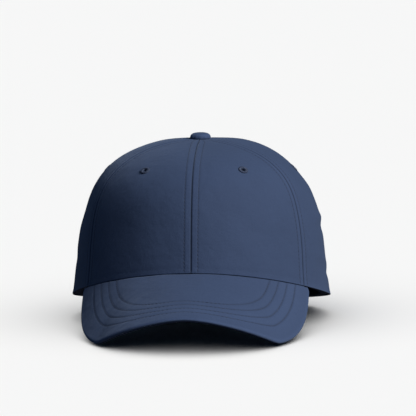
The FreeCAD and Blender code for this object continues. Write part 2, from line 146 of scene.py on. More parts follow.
key_light = sun("key_light", 60, 38, 34, 3.0, (0.97, 0.985, 1.0))
floor_light = sun("floor_light", 0, 80, 116, 3.2, (0.98, 0.95, 0.90))
world = bpy.data.worlds.new("studio")
bpy.context.scene.world = world
world.use_nodes = True
nodes, links = world.node_tree.nodes, world.node_tree.links
nodes.clear()
sky_fill = nodes.new("ShaderNodeBackground")
sky_fill.inputs["Color"].default_value = (0.36, 0.62, 1.0, 1)
sky_fill.inputs["Strength"].default_value = 0.13
sky_seen = nodes.new("ShaderNodeBackground")
sky_seen.inputs["Color"].default_value = (0.93, 0.93, 0.93, 1)
sky_mix = nodes.new("ShaderNodeMixShader")
links.new(nodes.new("ShaderNodeLightPath").outputs["Is Camera Ray"], sky_mix.inputs[0])
links.new(sky_fill.outputs[0], sky_mix.inputs[1])
links.new(sky_seen.outputs[0], sky_mix.inputs[2])
links.new(sky_mix.outputs[0], nodes.new("ShaderNodeOutputWorld").inputs[0])

# %% [markdown]
# ## Meshes from grids
# Cloth pieces are thin shells. Each is worked out as two grids of points, its outer and its inner face, and
# the rim between them closes the shell. Whole arrays go into the mesh at once, which is fast and exact.
# Sculpting would give freer folds, but the pieces would no longer meet along their seams.


# %% Grid helpers
def link_mesh(name, points, faces, uv=None, marks=None):
    """Makes a smooth-shaded object from points and a list of face arrays, each of one width."""
    sizes = np.concatenate([np.full(len(f), f.shape[1], np.int32) for f in faces])
    corners = np.concatenate([f.ravel() for f in faces]).astype(np.int32)
    used, corners = np.unique(corners, return_inverse=True)
    corners = corners.ravel().astype(np.int32)
    mesh = bpy.data.meshes.new(name)
    mesh.vertices.add(len(used))
    mesh.vertices.foreach_set("co", points[used].astype(np.float32).ravel())
    mesh.loops.add(len(corners))
    mesh.loops.foreach_set("vertex_index", corners)
    mesh.polygons.add(len(sizes))
    mesh.polygons.foreach_set("loop_start", np.concatenate(([0], np.cumsum(sizes)[:-1])).astype(np.int32))
    mesh.polygons.foreach_set("use_smooth", np.ones(len(sizes), bool))
    mesh.update(calc_edges=True)
    if uv is not None:
        layer = mesh.uv_layers.new(name="cloth")
        layer.data.foreach_set("uv", uv[used][corners].astype(np.float32).ravel())
    for label, values in (marks or {}).items():
        attribute = mesh.attributes.new(label, "FLOAT", "POINT")
        attribute.data.foreach_set("value", values[used].astype(np.float32))
    mesh.validate()
    made = bpy.data.objects.new(name, mesh)
    bpy.context.collection.objects.link(made)
    return made


def shell(name, outer, inner, uv=None, keep=None, marks=None):
    """A closed shell between two grids of points: both faces, and a rim wherever the kept quads end."""
    rows, columns = outer.shape[:2]
    count = rows * columns
    index = np.arange(count).reshape(rows, columns)
    keep = np.ones((rows - 1, columns - 1), bool) if keep is None else keep
    a, b, c, d = index[:-1, :-1], index[:-1, 1:], index[1:, 1:], index[1:, :-1]
    quads = np.stack((a, b, c, d), -1)[keep]
    faces = [quads, quads[:, ::-1] + count]
    padded = np.pad(keep, 1)
    below, above = padded[:-1, 1:-1], padded[1:, 1:-1]
    left, right = padded[1:-1, :-1], padded[1:-1, 1:]
    first, second = index[:, :-1], index[:, 1:]
    low, high = index[:-1, :], index[1:, :]
    for edge, start, end in (
        (above & ~below, second, first),
        (below & ~above, first, second),
        (right & ~left, low, high),
        (left & ~right, high, low),
    ):
        faces.append(np.stack((start[edge], end[edge], end[edge] + count, start[edge] + count), -1))
    points = np.concatenate((outer.reshape(-1, 3), inner.reshape(-1, 3)))
    flat = None if uv is None else np.tile(uv.reshape(-1, 2), (2, 1))
    marks = {label: np.tile(values.ravel(), 2) for label, values in (marks or {}).items()}
    return link_mesh(name, points, faces, flat, marks)


def turned_surface(name, grid, uv=None, ring=False, marks=None):
    """A surface whose columns run all the way round; with `ring` its rows close up too."""
    rows, columns = grid.shape[:2]
    index = np.arange(rows * columns).reshape(rows, columns)
    after = np.roll(index, -1, axis=1)
    if ring:
        quads = np.stack((index, after, np.roll(after, -1, axis=0), np.roll(index, -1, axis=0)), -1)
    else:
        quads = np.stack((index[:-1], after[:-1], after[1:], index[1:]), -1)
    flat = None if uv is None else uv.reshape(-1, 2)
    marks = {label: values.ravel() for label, values in (marks or {}).items()}
    return link_mesh(name, grid.reshape(-1, 3), [quads.reshape(-1, 4)], flat, marks)


def face_outward(piece, merge=0.0):
    """Turns every face outward, part by part; points nearer than `merge` become one first."""
    work = bmesh.new()
    work.from_mesh(piece.data)
    if merge:
        bmesh.ops.remove_doubles(work, verts=work.verts, dist=merge)
    bmesh.ops.recalc_face_normals(work, faces=work.faces)
    work.to_mesh(piece.data)
    work.free()
    return piece


def weld(piece):
    """Merges the points that meet at a pole."""
    return face_outward(piece, merge=0.002 * mm)


def repeat_ends(values):
    """The rows with the first and the last of them twice."""
    return np.concatenate((values[:1], values, values[-1:]))


def capped(grid):
    """The rows with one more at each end, all its points in the middle of that end."""
    middles = grid[[0, -1]].mean(1, keepdims=True) + 0 * grid[[0, -1]]
    return np.concatenate((middles[:1], grid, middles[1:]))


def smooth(value, start, end):
    """0 below start, 1 above end, and a smooth step between."""
    share = np.clip((value - start) / (end - start), 0, 1)
    return share * share * (3 - 2 * share)


def ridge(value, centre, width):
    """A bell curve: 1 at the centre, about a third at one width from it."""
    return np.exp(-(((value - centre) / width) ** 2))


mm = 0.001
uv_scale = 100  # the UV maps are in centimetres of cloth
print("grid helpers ready")

# %% [markdown]
# ## The crown's surface
# One formula carries every piece of the crown. Seen from above it is an oval, longer at the front. Its side
# curve is a superellipse, (reach)^2.9 + (rise)^2.9 = 1, which is steep low down and flat at the top. Higher
# up it leans forward. A `depth` below the surface gives the layers: cloth, backing, tapes and sweatband.

# %% Crown surface
half_width, front_length, crown_height = 91.5 * mm, 110 * mm, 114 * mm
fullness, lean, pitch, rear_roundness, lean_start = 2.9, 14.4 * mm, 0.24, 40 * mm, 35 * mm
side_flare, flare_height = 3.3 * mm, 25 * mm
hem_rise, hem_angle, tilt = 10 * mm, 95.0, np.radians(10.6)
front_seam, rear_seam = 56.0, 120.0
cloth, cloth_gap, buckram, tape = 0.7 * mm, 0.05 * mm, 0.45 * mm, 0.5 * mm
arch_half, arch_side = 39 * mm, 9 * mm
band_depth, band_thickness, band_height = 3.65 * mm, 1.0 * mm, 30 * mm
rear_y = np.sqrt(half_width**2 - arch_half**2)
joint_place = {j["name"]: np.array(j["pos_m"]) for j in frame["record"]["behaviour"]["joints"]}


def lean_back(points):
    """Turns upright points back by the tilt about the crown's two rear corners."""
    x, y, z = points[..., 0], points[..., 1] - rear_y, points[..., 2]
    back, up = y * np.cos(tilt) + z * np.sin(tilt), z * np.cos(tilt) - y * np.sin(tilt)
    return np.stack((x, back + rear_y, up), -1)


frame_shift = joint_place["strap_slide"] - lean_back(np.zeros(3))
rear_foot = np.array([0, rear_y, 0])
straight_up = np.array([0, 0, 1.0])


def turn_back(directions):
    """Turns directions, rather than points, back by the tilt."""
    return lean_back(directions + rear_foot) - rear_foot


def stand(points):
    """Moves upright points to where the cap stands in the frame."""
    return lean_back(points) + frame_shift


def side_reach(height, depth=0.0):
    """The side curve's reach, as a share of the half width, at this height."""
    share = np.clip(height / (crown_height - depth), 0, 1)
    return (1 - share**fullness) ** (1 / fullness)


def climb_at(height, depth=0.0):
    """The polar angle, up the side curve, of a point at this height."""
    return np.arctan2(np.clip(height / (crown_height - depth), 0, 1), side_reach(height, depth))


def climb_beside(distance):
    """The polar angle, up the side curve, of a point this far from the crown's axis."""
    reach = distance / half_width
    return np.arctan2((1 - reach**fullness) ** (1 / fullness), reach)


def side_curve(climb):
    """Reach and rise, as shares of the whole, at this polar angle up the side curve."""
    radius = (np.cos(climb).clip(0) ** fullness + np.sin(climb).clip(0) ** fullness) ** (-1 / fullness)
    return radius * np.cos(climb), radius * np.sin(climb)


def crown_point(phi, climb, depth=0.0, out=0.0):
    """phi degrees from the front, climb up the side curve, depth below the cloth, out above that layer."""
    phi, climb = np.broadcast_arrays(np.asarray(phi, float), climb)
    turn = np.radians(phi)
    reach, rise = side_curve(climb)
    height = (crown_height - depth) * rise
    length = np.where(np.cos(turn) > 0, front_length, half_width)
    layers = cloth + buckram + tape + 2 * cloth_gap
    follows = np.clip((band_depth - depth) / (band_depth - layers), 0, 1)
    flare = side_flare * follows * np.sin(turn) ** 4 * (1 - height / flare_height).clip(0) ** 2
    high = ((height - lean_start) / (crown_height - depth - lean_start)).clip(0) ** 2
    x = ((half_width - depth + out) * reach + flare) * np.sin(turn)
    y = -((length - depth + out) * reach + flare) * np.cos(turn)
    lifted = y / (1 + y.clip(0) / rear_roundness)
    return np.stack((x, y - lean * high, height + out * rise + pitch * lifted * high), -1)


def hem_height(phi):
    """The crown's lower edge arches up over the brim: rise times cos squared."""
    share = np.minimum(np.abs((phi + 180) % 360 - 180) / hem_angle, 1)
    return np.where(share < 1, hem_rise * np.cos(np.pi / 2 * share) ** 2, 0)


def girth_per_degree(phi):
    """Length round the crown's foot for one degree."""
    turn = np.radians(phi)
    length = np.where(np.cos(turn) > 0, front_length, half_width)
    return np.sqrt((half_width * np.cos(turn)) ** 2 + (length * np.sin(turn)) ** 2) * np.pi / 180


print("crown axis foot at", stand(np.zeros(3)).round(5))

# %% [markdown]
# ## Soft folds
# Unlined twill never lies as true as its pattern. The front panels have a stiff backing, so they only ripple
# a little; the side and back panels hold a few soft creases. Every layer of the crown moves by the same
# amount, so nothing comes through. Long waves are sums of sines, and each crease is a stretched bell curve.

# %% Fold field
creases = [
    # degrees round, height, slant, half length, half width, height of the fold
    (84, 56, 0.10, 16, 3.2, 0.9), (88, 50, 0.16, 20, 4.0, -0.8), (96, 76, -0.5, 22, 6.0, 0.5),
    (80, 24, -0.12, 17, 3.6, 0.9), (92, 16, -0.1, 20, 3.5, -0.7), (108, 34, 0.7, 20, 6.0, 0.8),
    (-84, 50, -0.1, 22, 8.0, 0.5), (-78, 28, 0.25, 20, 6.0, -0.7), (-98, 66, 0.5, 24, 8.0, 0.5),
    (-104, 26, -0.6, 18, 6.0, 0.9), (138, 72, 0.4, 20, 6.5, 1.2), (-140, 70, -0.5, 24, 7.0, 1.1),
    (150, 50, -0.9, 18, 6.0, -0.9), (-148, 46, 0.9, 16, 6.0, -0.8), (126, 40, 0.2, 16, 5.0, 0.8),
    (-34, 40, 0.5, 30, 12.0, -0.5), (28, 44, -0.6, 30, 13.0, -0.35), (-18, 78, 1.1, 26, 10.0, 0.35),
]


def softness(phi, climb):
    """How far the cloth stands off its pattern, in metres: waves everywhere, and the listed creases."""
    reach, rise = side_curve(climb)
    height = crown_height * rise / mm
    phi = (phi + 180) % 360 - 180
    unlined = smooth(np.abs(phi), 44, 72)
    waves = 0.22 * np.sin(0.071 * phi + 0.055 * height) + 0.16 * np.sin(0.137 * phi - 0.083 * height + 1.3)
    waves += 0.10 * np.sin(0.11 * height + 0.05 * phi + 2.1)
    total = waves * (0.8 + 1.6 * unlined) * np.cos(np.radians(phi) / 2) ** 0.5
    for round_at, up_at, slant, long, wide, fold in creases:
        along = (phi - round_at) * 1.6 * (0.35 + 0.65 * reach)
        across = height - up_at
        turned = np.hypot(1, slant)
        s, t = (along + slant * across) / turned, (across - slant * along) / turned
        total = total + fold * ridge(s, 0, long) * ridge(t, 0, wide)
    return total * mm * smooth(reach, 0.10, 0.45) * (0.35 + 0.65 * smooth(height, 2, 12))


probe = softness(np.linspace(-180, 180, 361)[None, :], np.linspace(0.02, 1.5, 60)[:, None])
print("folds from", (probe.min() / mm).round(2), "to", (probe.max() / mm).round(2), "mm")

# %% [markdown]
# ## Rows of stitching
# Each stitch is a short bulging thread that dives into the cloth at both ends. One small ring-by-ring shape
# is copied along a path with array arithmetic. A bump in the material would be cheaper, but it would not
# catch the light at the edges.

# %% Stitches
dice = np.random.default_rng(7)
stitch_rings, stitch_sides = 5, 6


def stitch_row(path, normal, pitch=2.7 * mm, radius=0.23 * mm, lift=0.10 * mm):
    """Stitches along a path: tubes round path + normal * lift * (2.2 sin(pi t) - 1.1), with narrow ends."""
    step = np.linalg.norm(np.diff(path, axis=0), axis=1)
    length = np.concatenate(([0], np.cumsum(step)))
    count = int(length[-1] / pitch)
    begin = (np.arange(count) + 0.5) * length[-1] / (count + 0.5)
    t = np.linspace(0, 1, stitch_rings)
    gap = 0.13 + 0.03 * dice.random((count, 1))
    at = begin[:, None] + (gap + (1 - 2 * gap) * t[None, :] - 0.5) * pitch
    at = at.clip(0, length[-1])

    def along(values, where):
        return np.stack([np.interp(where, length, values[:, k]) for k in range(3)], -1)

    middle, up = along(path, at), along(normal, at)
    tangent = along(path, at + 0.1 * mm) - along(path, at - 0.1 * mm)
    tangent /= np.linalg.norm(tangent, axis=-1, keepdims=True).clip(1e-9)
    side = np.cross(tangent, up)
    side /= np.linalg.norm(side, axis=-1, keepdims=True).clip(1e-9)
    sway = (dice.random((count, 1, 1)) - 0.5) * 0.10 * mm
    rise = (lift * (2.2 * np.sin(np.pi * t) - 1.1))[None, :, None]
    middle = middle + up * rise + side * sway
    size = radius * (0.35 + 0.65 * np.sin(np.pi * t) ** 0.6)[None, :, None, None]
    turn = np.arange(stitch_sides) * 2 * np.pi / stitch_sides
    round_ = side[:, :, None] * np.cos(turn)[:, None] + up[:, :, None] * 0.8 * np.sin(turn)[:, None]
    grid = middle[:, :, None] + round_ * size
    index = np.arange(grid[..., 0].size).reshape(count, stitch_rings, stitch_sides)
    after = np.roll(index, -1, axis=2)
    quads = np.stack((index[:, :-1], after[:, :-1], after[:, 1:], index[:, 1:]), -1).reshape(-1, 4)
    caps = np.concatenate((index[:, 0, ::-1], index[:, -1]))
    uv = np.stack(np.broadcast_arrays(at[:, :, None] * 1000, turn[None, None, :]), -1)
    return grid.reshape(-1, 3), quads, caps, uv.reshape(-1, 2)


def stitched(name, rows):
    """One object that holds several rows of stitches."""
    points, quads, caps, flats, offset = [], [], [], [], 0
    for grid, faces, ends, uv in rows:
        points.append(grid)
        quads.append(faces + offset)
        caps.append(ends + offset)
        flats.append(uv)
        offset += len(grid)
    faces = [np.concatenate(quads), np.concatenate(caps)]
    return face_outward(link_mesh(name, np.concatenate(points), faces, np.concatenate(flats)))


def grid_normals(grid):
    """Unit normals of a grid, from its differences across and up."""
    across = np.gradient(grid, axis=1)
    up = np.gradient(grid, axis=0)
    normal = np.cross(across, up)
    return normal / np.linalg.norm(normal, axis=-1, keepdims=True).clip(1e-12)


stitch_faces = stitch_sides * (stitch_rings - 1) + 2
print("a stitch has", stitch_faces, "faces")

# %% [markdown]
# ## One cloth for the whole cap
# Twill is woven in steps, so it shows fine diagonal ribs. One node group turns a piece's own UV map, in
# centimetres of cloth, into those ribs. Another makes the faint cloudiness of dyed cotton and the slack of
# cloth that has been handled. Each material sets its own pitch and strength. An image of cloth would stretch
# over the crown's curve; this doesn't.


# %% Shader groups
def shader_group(name, inputs, outputs):
    """A new node group with these sockets: {name: (type, value)}."""
    group = bpy.data.node_groups.new(name, "ShaderNodeTree")
    for label, (kind, value) in inputs.items():
        socket = group.interface.new_socket(label, in_out="INPUT", socket_type=kind)
        if value is not None:
            socket.default_value = value
    for label, kind in outputs.items():
        group.interface.new_socket(label, in_out="OUTPUT", socket_type=kind)
    return group, group.nodes.new("NodeGroupInput"), group.nodes.new("NodeGroupOutput")


def add(tree, kind, links_in=None, **settings):
    """A node with settings; links_in gives {input: socket or value}."""
    node = tree.nodes.new(kind)
    for label, value in settings.items():
        setattr(node, label, value)
    for label, value in (links_in or {}).items():
        if isinstance(value, bpy.types.NodeSocket):
            tree.links.new(value, node.inputs[label])
        else:
            node.inputs[label].default_value = value
    return node


def maths(tree, operation, *values):
    """The output of a maths node over sockets and numbers."""
    return add(tree, "ShaderNodeMath", dict(enumerate(values)), operation=operation).outputs[0]


twill, given, result = shader_group(
    "twill_weave",
    {"Pitch": ("NodeSocketFloat", 0.075), "Broken": ("NodeSocketFloat", 0.35)},
    {"Height": "NodeSocketFloat", "Shade": "NodeSocketFloat"},
)
place = add(twill, "ShaderNodeUVMap", uv_map="cloth").outputs[0]
wobble = add(twill, "ShaderNodeTexNoise", {"Vector": place, "Scale": 9.0, "Detail": 2.0})
split = add(twill, "ShaderNodeSeparateXYZ", {0: place})
across, along = split.outputs[0], split.outputs[1]
diagonal = maths(twill, "ADD", across, along)
diagonal = maths(twill, "ADD", diagonal, maths(twill, "MULTIPLY", wobble.outputs[0], 0.05))
turns = maths(twill, "DIVIDE", diagonal, given.outputs["Pitch"])
ribs = maths(twill, "SINE", maths(twill, "MULTIPLY", turns, 2 * np.pi))
ribs = maths(twill, "MULTIPLY_ADD", ribs, 0.5, 0.5)
steps = maths(twill, "DIVIDE", maths(twill, "SUBTRACT", across, along), given.outputs["Pitch"])
steps = maths(twill, "SINE", maths(twill, "MULTIPLY", steps, 2 * np.pi * 1.6))
steps = maths(twill, "MULTIPLY", maths(twill, "MULTIPLY_ADD", steps, 0.5, 0.5), given.outputs["Broken"])
fuzz = add(twill, "ShaderNodeTexNoise", {"Vector": place, "Scale": 60.0, "Detail": 3.0}).outputs[0]
height = maths(twill, "ADD", maths(twill, "SUBTRACT", ribs, steps), maths(twill, "MULTIPLY", fuzz, 0.9))
twill.links.new(height, result.inputs["Height"])
shade = maths(twill, "MULTIPLY_ADD", height, 0.20, 0.80)
twill.links.new(shade, result.inputs["Shade"])

cloudy, given, result = shader_group(
    "dye_cloud",
    {"Scale": ("NodeSocketFloat", 30.0), "Amount": ("NodeSocketFloat", 0.12)},
    {"Shade": "NodeSocketFloat", "Grain": "NodeSocketFloat", "Slack": "NodeSocketFloat"},
)
where = add(cloudy, "ShaderNodeTexCoord").outputs["Object"]
broad = add(cloudy, "ShaderNodeTexNoise", {"Vector": where, "Scale": given.outputs["Scale"], "Detail": 4.0})
broad = broad.outputs[0]
fine = add(cloudy, "ShaderNodeTexNoise", {"Vector": where, "Scale": 900.0, "Detail": 3.0}).outputs[0]
clouds = maths(cloudy, "SUBTRACT", broad, 0.5)
clouds = maths(cloudy, "ADD", clouds, maths(cloudy, "MULTIPLY_ADD", fine, 0.5, -0.25))
cloudy.links.new(maths(cloudy, "MULTIPLY_ADD", clouds, given.outputs["Amount"], 1.0), result.inputs["Shade"])
cloudy.links.new(fine, result.inputs["Grain"])
loose = add(cloudy, "ShaderNodeTexNoise", {"Vector": where, "Scale": 95.0, "Detail": 3.0, "Roughness": 0.55})
loose = loose.outputs[0]
slack = maths(cloudy, "ADD", maths(cloudy, "MULTIPLY", loose, 0.35), maths(cloudy, "MULTIPLY", broad, 0.65))
cloudy.links.new(slack, result.inputs["Slack"])
print("groups:", [g.name for g in bpy.data.node_groups])


# %% Cloth materials
def new_material(name):
    """An empty node material with one principled surface."""
    made = bpy.data.materials.new(name)
    made.use_nodes = True
    tree = made.node_tree
    tree.nodes.clear()
    surface = add(tree, "ShaderNodeBsdfPrincipled")
    tree.links.new(surface.outputs[0], add(tree, "ShaderNodeOutputMaterial").inputs[0])
    return made, tree, surface


def grouped(tree, group, **values):
    """A copy of a node group in this tree, with these input values."""
    node = add(tree, "ShaderNodeGroup", node_tree=group)
    for label, value in values.items():
        node.inputs[label].default_value = value
    return node


def shaded(tree, colour, *shades):
    """The colour, multiplied by each grey shade in turn."""
    value = shades[0]
    for more in shades[1:]:
        value = maths(tree, "MULTIPLY", value, more)
    mixed = add(tree, "ShaderNodeVectorMath", {0: colour, 1: value}, operation="MULTIPLY")
    return mixed.outputs[0]


def bumped(tree, height, strength, distance):
    """A bump node over this height."""
    return add(tree, "ShaderNodeBump", {"Height": height, "Strength": strength, "Distance": distance})


def cloth_material(name, colour, pitch=0.075, depth=0.09, roughness=0.86, sheen=0.25, worn=0.5, cloud=0.14):
    """Twill: ribs, dye clouds and slack folds, paler nap where `worn` is, painted shade in the grooves."""
    made, tree, surface = new_material(name)
    weave = grouped(tree, twill, Pitch=pitch)
    dye = grouped(tree, cloudy, Amount=cloud, Scale=38.0)
    wear = add(tree, "ShaderNodeAttribute", attribute_name="worn").outputs["Fac"]
    paler = maths(tree, "MULTIPLY_ADD", maths(tree, "MULTIPLY", wear, dye.outputs["Grain"]), worn, 1.0)
    # Painted shade: the colour is darkened by up to 62% along the seam and stitch grooves, where shadow
    # falls.
    groove_shade_mask = add(tree, "ShaderNodeAttribute", attribute_name="pinch").outputs["Fac"]
    deep = maths(tree, "MULTIPLY_ADD", groove_shade_mask, -0.62, 1.0)
    tone = shaded(tree, colour, weave.outputs["Shade"], dye.outputs["Shade"], paler, deep)
    tree.links.new(tone, surface.inputs["Base Color"])
    rough = maths(tree, "MULTIPLY_ADD", weave.outputs["Height"], -0.05, roughness)
    tree.links.new(rough, surface.inputs["Roughness"])
    slack = bumped(tree, dye.outputs["Slack"], 1.0, 1.6 * mm)
    bump = bumped(tree, weave.outputs["Height"], 0.55, depth * mm)
    tree.links.new(slack.outputs[0], bump.inputs["Normal"])
    tree.links.new(bump.outputs[0], surface.inputs["Normal"])
    surface.inputs["Sheen Weight"].default_value = sheen
    surface.inputs["Sheen Roughness"].default_value = 0.45
    surface.inputs["Sheen Tint"].default_value = (0.55, 0.66, 0.9, 1)
    surface.inputs["Specular IOR Level"].default_value = 0.25
    return made


navy = (0.053, 0.080, 0.155)
crown_cloth = cloth_material("crown_twill", navy)
brim_cloth = cloth_material("brim_twill", navy, pitch=0.07)
strap_cloth = cloth_material("strap_twill", navy, pitch=0.06)
band_cloth = cloth_material("sweatband_twill", (0.040, 0.062, 0.128), pitch=0.05, worn=0.9, cloud=0.22)
tape_cloth = cloth_material("seam_tape_twill", (0.045, 0.070, 0.142), pitch=0.045)
backing_grey = (0.70, 0.69, 0.65)
backing_cloth = cloth_material("backing_weave", backing_grey, pitch=0.11, depth=0.2, sheen=0.05, worn=0.1)


def ramp(tree, value, low, high):
    """A colour ramp between two ends, each a position and a colour."""
    node = add(tree, "ShaderNodeValToRGB", {0: value})
    for element, (position, colour) in zip(node.color_ramp.elements, (low, high)):
        element.position = position
        element.color = (*colour, 1)
    return node.outputs[0]


def thread_material(name, colour):
    """Twisted thread: slanting stripes along each stitch, from its own UV map."""
    made, tree, surface = new_material(name)
    split = add(tree, "ShaderNodeSeparateXYZ", {0: add(tree, "ShaderNodeUVMap", uv_map="cloth").outputs[0]})
    slant = maths(tree, "MULTIPLY", split.outputs[1], 2.0)
    twist = maths(tree, "ADD", maths(tree, "MULTIPLY", split.outputs[0], 9.0), slant)
    twist = maths(tree, "MULTIPLY_ADD", maths(tree, "SINE", twist), 0.5, 0.5)
    dye = grouped(tree, cloudy, Amount=0.25, Scale=60.0)
    tone = shaded(tree, colour, maths(tree, "MULTIPLY_ADD", twist, 0.3, 0.8), dye.outputs["Shade"])
    tree.links.new(tone, surface.inputs["Base Color"])
    tree.links.new(maths(tree, "MULTIPLY_ADD", twist, -0.15, 0.62), surface.inputs["Roughness"])
    tree.links.new(bumped(tree, twist, 0.5, 0.05 * mm).outputs[0], surface.inputs["Normal"])
    surface.inputs["Sheen Weight"].default_value = 0.2
    return made


thread = thread_material("seam_thread", (0.026, 0.041, 0.090))
eyelet_thread = thread_material("eyelet_thread", (0.030, 0.047, 0.100))


def finish(piece, material):
    """Gives a piece its one material, in place of any it had."""
    piece.data.materials.clear()
    piece.data.materials.append(material)
    return piece


print("materials:", [m.name for m in bpy.data.materials])

# %% [markdown]
# ## The six panels
# A panel is a gore: wide at the hem and narrow at the button. Its grid has close columns beside both seams,
# at fixed distances from them, so the stitched ridge keeps its width almost up to the button. The cloth dips
# into the seam, stands up over the folded allowance, and dips again where the needle went. The seam line
# and the needle rows also get painted shade in their colour. At the back the lower edge follows the
# half-moon opening.

# %% Panel grid
panel_ends = {"front": (0.0, front_seam), "side": (front_seam, rear_seam), "back": (rear_seam, 180.0)}
stitch_at = 4.7 * mm
near_seam = [0, 0.12, 0.3, 0.55, 0.85, 1.2, 1.7, 2.3, 3.0, 3.7]
near_needle = [4.15, 4.45, 4.7, 4.95, 5.25, 5.8, 6.5, 7.3]
edge_steps = np.array(near_seam + near_needle) * mm
hem_steps = np.array([0, 0.12, 0.3, 0.6, 1.0, 1.5, 2.2, 3.0, 4.0]) * mm
hair = 1e-4 * mm
stitch_column = int(np.argmin(abs(edge_steps - stitch_at)))
top_climb = climb_beside(3 * mm)


def arch_angle(x, z, depth=0.0):
    """Degrees round from the front to the point behind that has this x and height."""
    return 180 - np.degrees(np.arcsin((x / ((half_width - depth) * side_reach(z, depth))).clip(-1, 1)))


def back_columns():
    """Angle and lower height of a back panel's middle columns: hem, side of the opening, then its arch."""
    foot = arch_angle(arch_half, 0)
    start = rear_seam + edge_steps[-1] / girth_per_degree(rear_seam)
    near = foot - edge_steps[::-1] / girth_per_degree(foot)
    hem = np.linspace(start, near[0], 26)[1:-1]
    turn = np.linspace(0, np.arccos(edge_steps[-1] / arch_half), 46)
    upright = np.arange(1, 8)  # up the straight side, each a hair further in, so the columns keep apart
    side = arch_half - upright * hair
    arch_x = arch_half * np.cos(turn[1:-1]) - 8 * hair
    arch_z = arch_side + arch_half * np.sin(turn[1:-1])
    x = np.concatenate((side, arch_x))
    z = np.concatenate((arch_side * upright / 7, arch_z))
    phi = np.concatenate((hem, near, arch_angle(x, z)))
    return phi, np.concatenate((np.zeros(len(hem) + len(near)), z))


def panel_grid(first, last, back=False, columns=66, rows=104):
    """Angles, climbs, distances to the nearer seam and lower heights of a left panel's grid."""
    tail = edge_steps[-1]
    foot_left = first + edge_steps / girth_per_degree(first)
    foot_right = last - edge_steps[::-1] / girth_per_degree(last)
    if back:
        middle, middle_low = back_columns()
        crest = arch_side + np.sqrt(arch_half**2 - edge_steps[::-1] ** 2)
        low = np.concatenate((np.zeros(len(edge_steps)), middle_low, crest))
    else:
        middle = np.linspace(foot_left[-1], foot_right[0], columns)[1:-1]
        low = hem_height(np.concatenate((foot_left, middle, foot_right)))
    shares = (middle - foot_left[-1]) / (foot_right[0] - foot_left[-1])
    hem = climb_at(low[None, :] + hem_steps[:, None])
    share = np.linspace(0, 1, rows)[1:, None]
    climb = np.concatenate((hem, hem[-1] + (top_climb - hem[-1]) * share))

    def reach_of(column):
        return side_curve(climb[:, column])[0]

    width = (last - first) * girth_per_degree((first + last) / 2) * reach_of(len(low) // 2)
    squeeze = np.minimum(1, 0.42 * width / tail)[:, None]
    left = first + edge_steps * squeeze / (girth_per_degree(first) * reach_of(0)[:, None])
    right = last - edge_steps[::-1] * squeeze / (girth_per_degree(last) * reach_of(-1)[:, None])
    inside = left[:, -1:] + (right[:, :1] - left[:, -1:]) * shares
    phi = np.concatenate((left, inside, right), 1)
    nearer = np.minimum(shares, 1 - shares) * width[:, None]
    beside = np.tile(edge_steps, (len(phi), 1))
    seam = np.concatenate((beside, tail + nearer, beside[:, ::-1]), 1)
    return phi, climb, seam, np.broadcast_to(low, phi.shape)


for place, ends in panel_ends.items():
    print(place, "grid, rows by columns:", panel_grid(*ends, place == "back")[0].shape)


# %% Eyelet places
eyelet_round = {"front": 30.0, "side": 89.0, "back": 150.0}
eyelet_climb = np.radians(47.4)


def surface_frame(phi, climb):
    """The soft crown's point there, its outward normal, and metres per degree round and per radian up."""
    round_step, climb_step = 0.3, 0.004

    def at(a, b):
        return stand(crown_point(a, b, 0, softness(a, b)))

    across = at(phi + round_step, climb) - at(phi - round_step, climb)
    up = at(phi, climb + climb_step) - at(phi, climb - climb_step)
    speeds = np.linalg.norm(across) / (2 * round_step), np.linalg.norm(up) / (2 * climb_step)
    normal = np.cross(across, up)
    return at(phi, climb), normal / np.linalg.norm(normal), speeds


print("front eyelet at", surface_frame(eyelet_round["front"], eyelet_climb)[0].round(4))

# %% Panels
arch_stitches = (1.9 * mm, 6.3 * mm)


def seam_profile(seam):
    """Height of the cloth beside a seam: raised over the allowance, dipped at the seam and the needle."""
    over = smooth(seam, 0.2 * mm, 1.1 * mm) * (1 - smooth(seam, stitch_at, stitch_at + 1 * mm))
    dip = 0.40 * mm * ridge(seam, 0, 0.42 * mm) + 0.24 * mm * ridge(seam, stitch_at, 0.5 * mm)
    return 0.14 * mm * over - dip


def edge_round(distance, thickness, radius=0.9 * mm):
    """How far each face of a cloth comes in near a folded edge: a quarter of an ellipse."""
    share = (1 - (distance / radius).clip(0, 1)) ** 2
    return (thickness / 2) * (1 - np.sqrt((1 - share).clip(0.0025)))


def arch_distance(points):
    """Distance outside the half-moon's outline, for upright points."""
    x, z = abs(points[..., 0]), points[..., 2]
    return np.where(z > arch_side, np.hypot(x, z - arch_side) - arch_half, x - arch_half)


def punch(outer, inner, phi, hole=2.5 * mm):
    """Which faces stay when the eyelet's hole is cut; the points on the cut's edge move on to a circle."""
    centre, normal, _ = surface_frame(phi, eyelet_climb)
    reach_out = outer - centre
    flat = reach_out - (reach_out @ normal)[..., None] * normal
    distance = np.linalg.norm(flat, axis=-1)
    near = np.linalg.norm(reach_out, axis=-1) < 12 * mm
    inside = (distance < 0.8 * hole) & near
    cut = inside[:-1, :-1] | inside[1:, :-1] | inside[:-1, 1:] | inside[1:, 1:]
    around, kept = np.pad(cut, 1), np.pad(~cut, 1)
    touched = around[:-1, :-1] | around[1:, :-1] | around[:-1, 1:] | around[1:, 1:]
    beside = kept[:-1, :-1] | kept[1:, :-1] | kept[:-1, 1:] | kept[1:, 1:]
    snap = touched & beside & near
    push = (hole / distance[snap] - 1)[:, None] * flat[snap]
    outer[snap] += push
    inner[snap] += push
    return ~cut


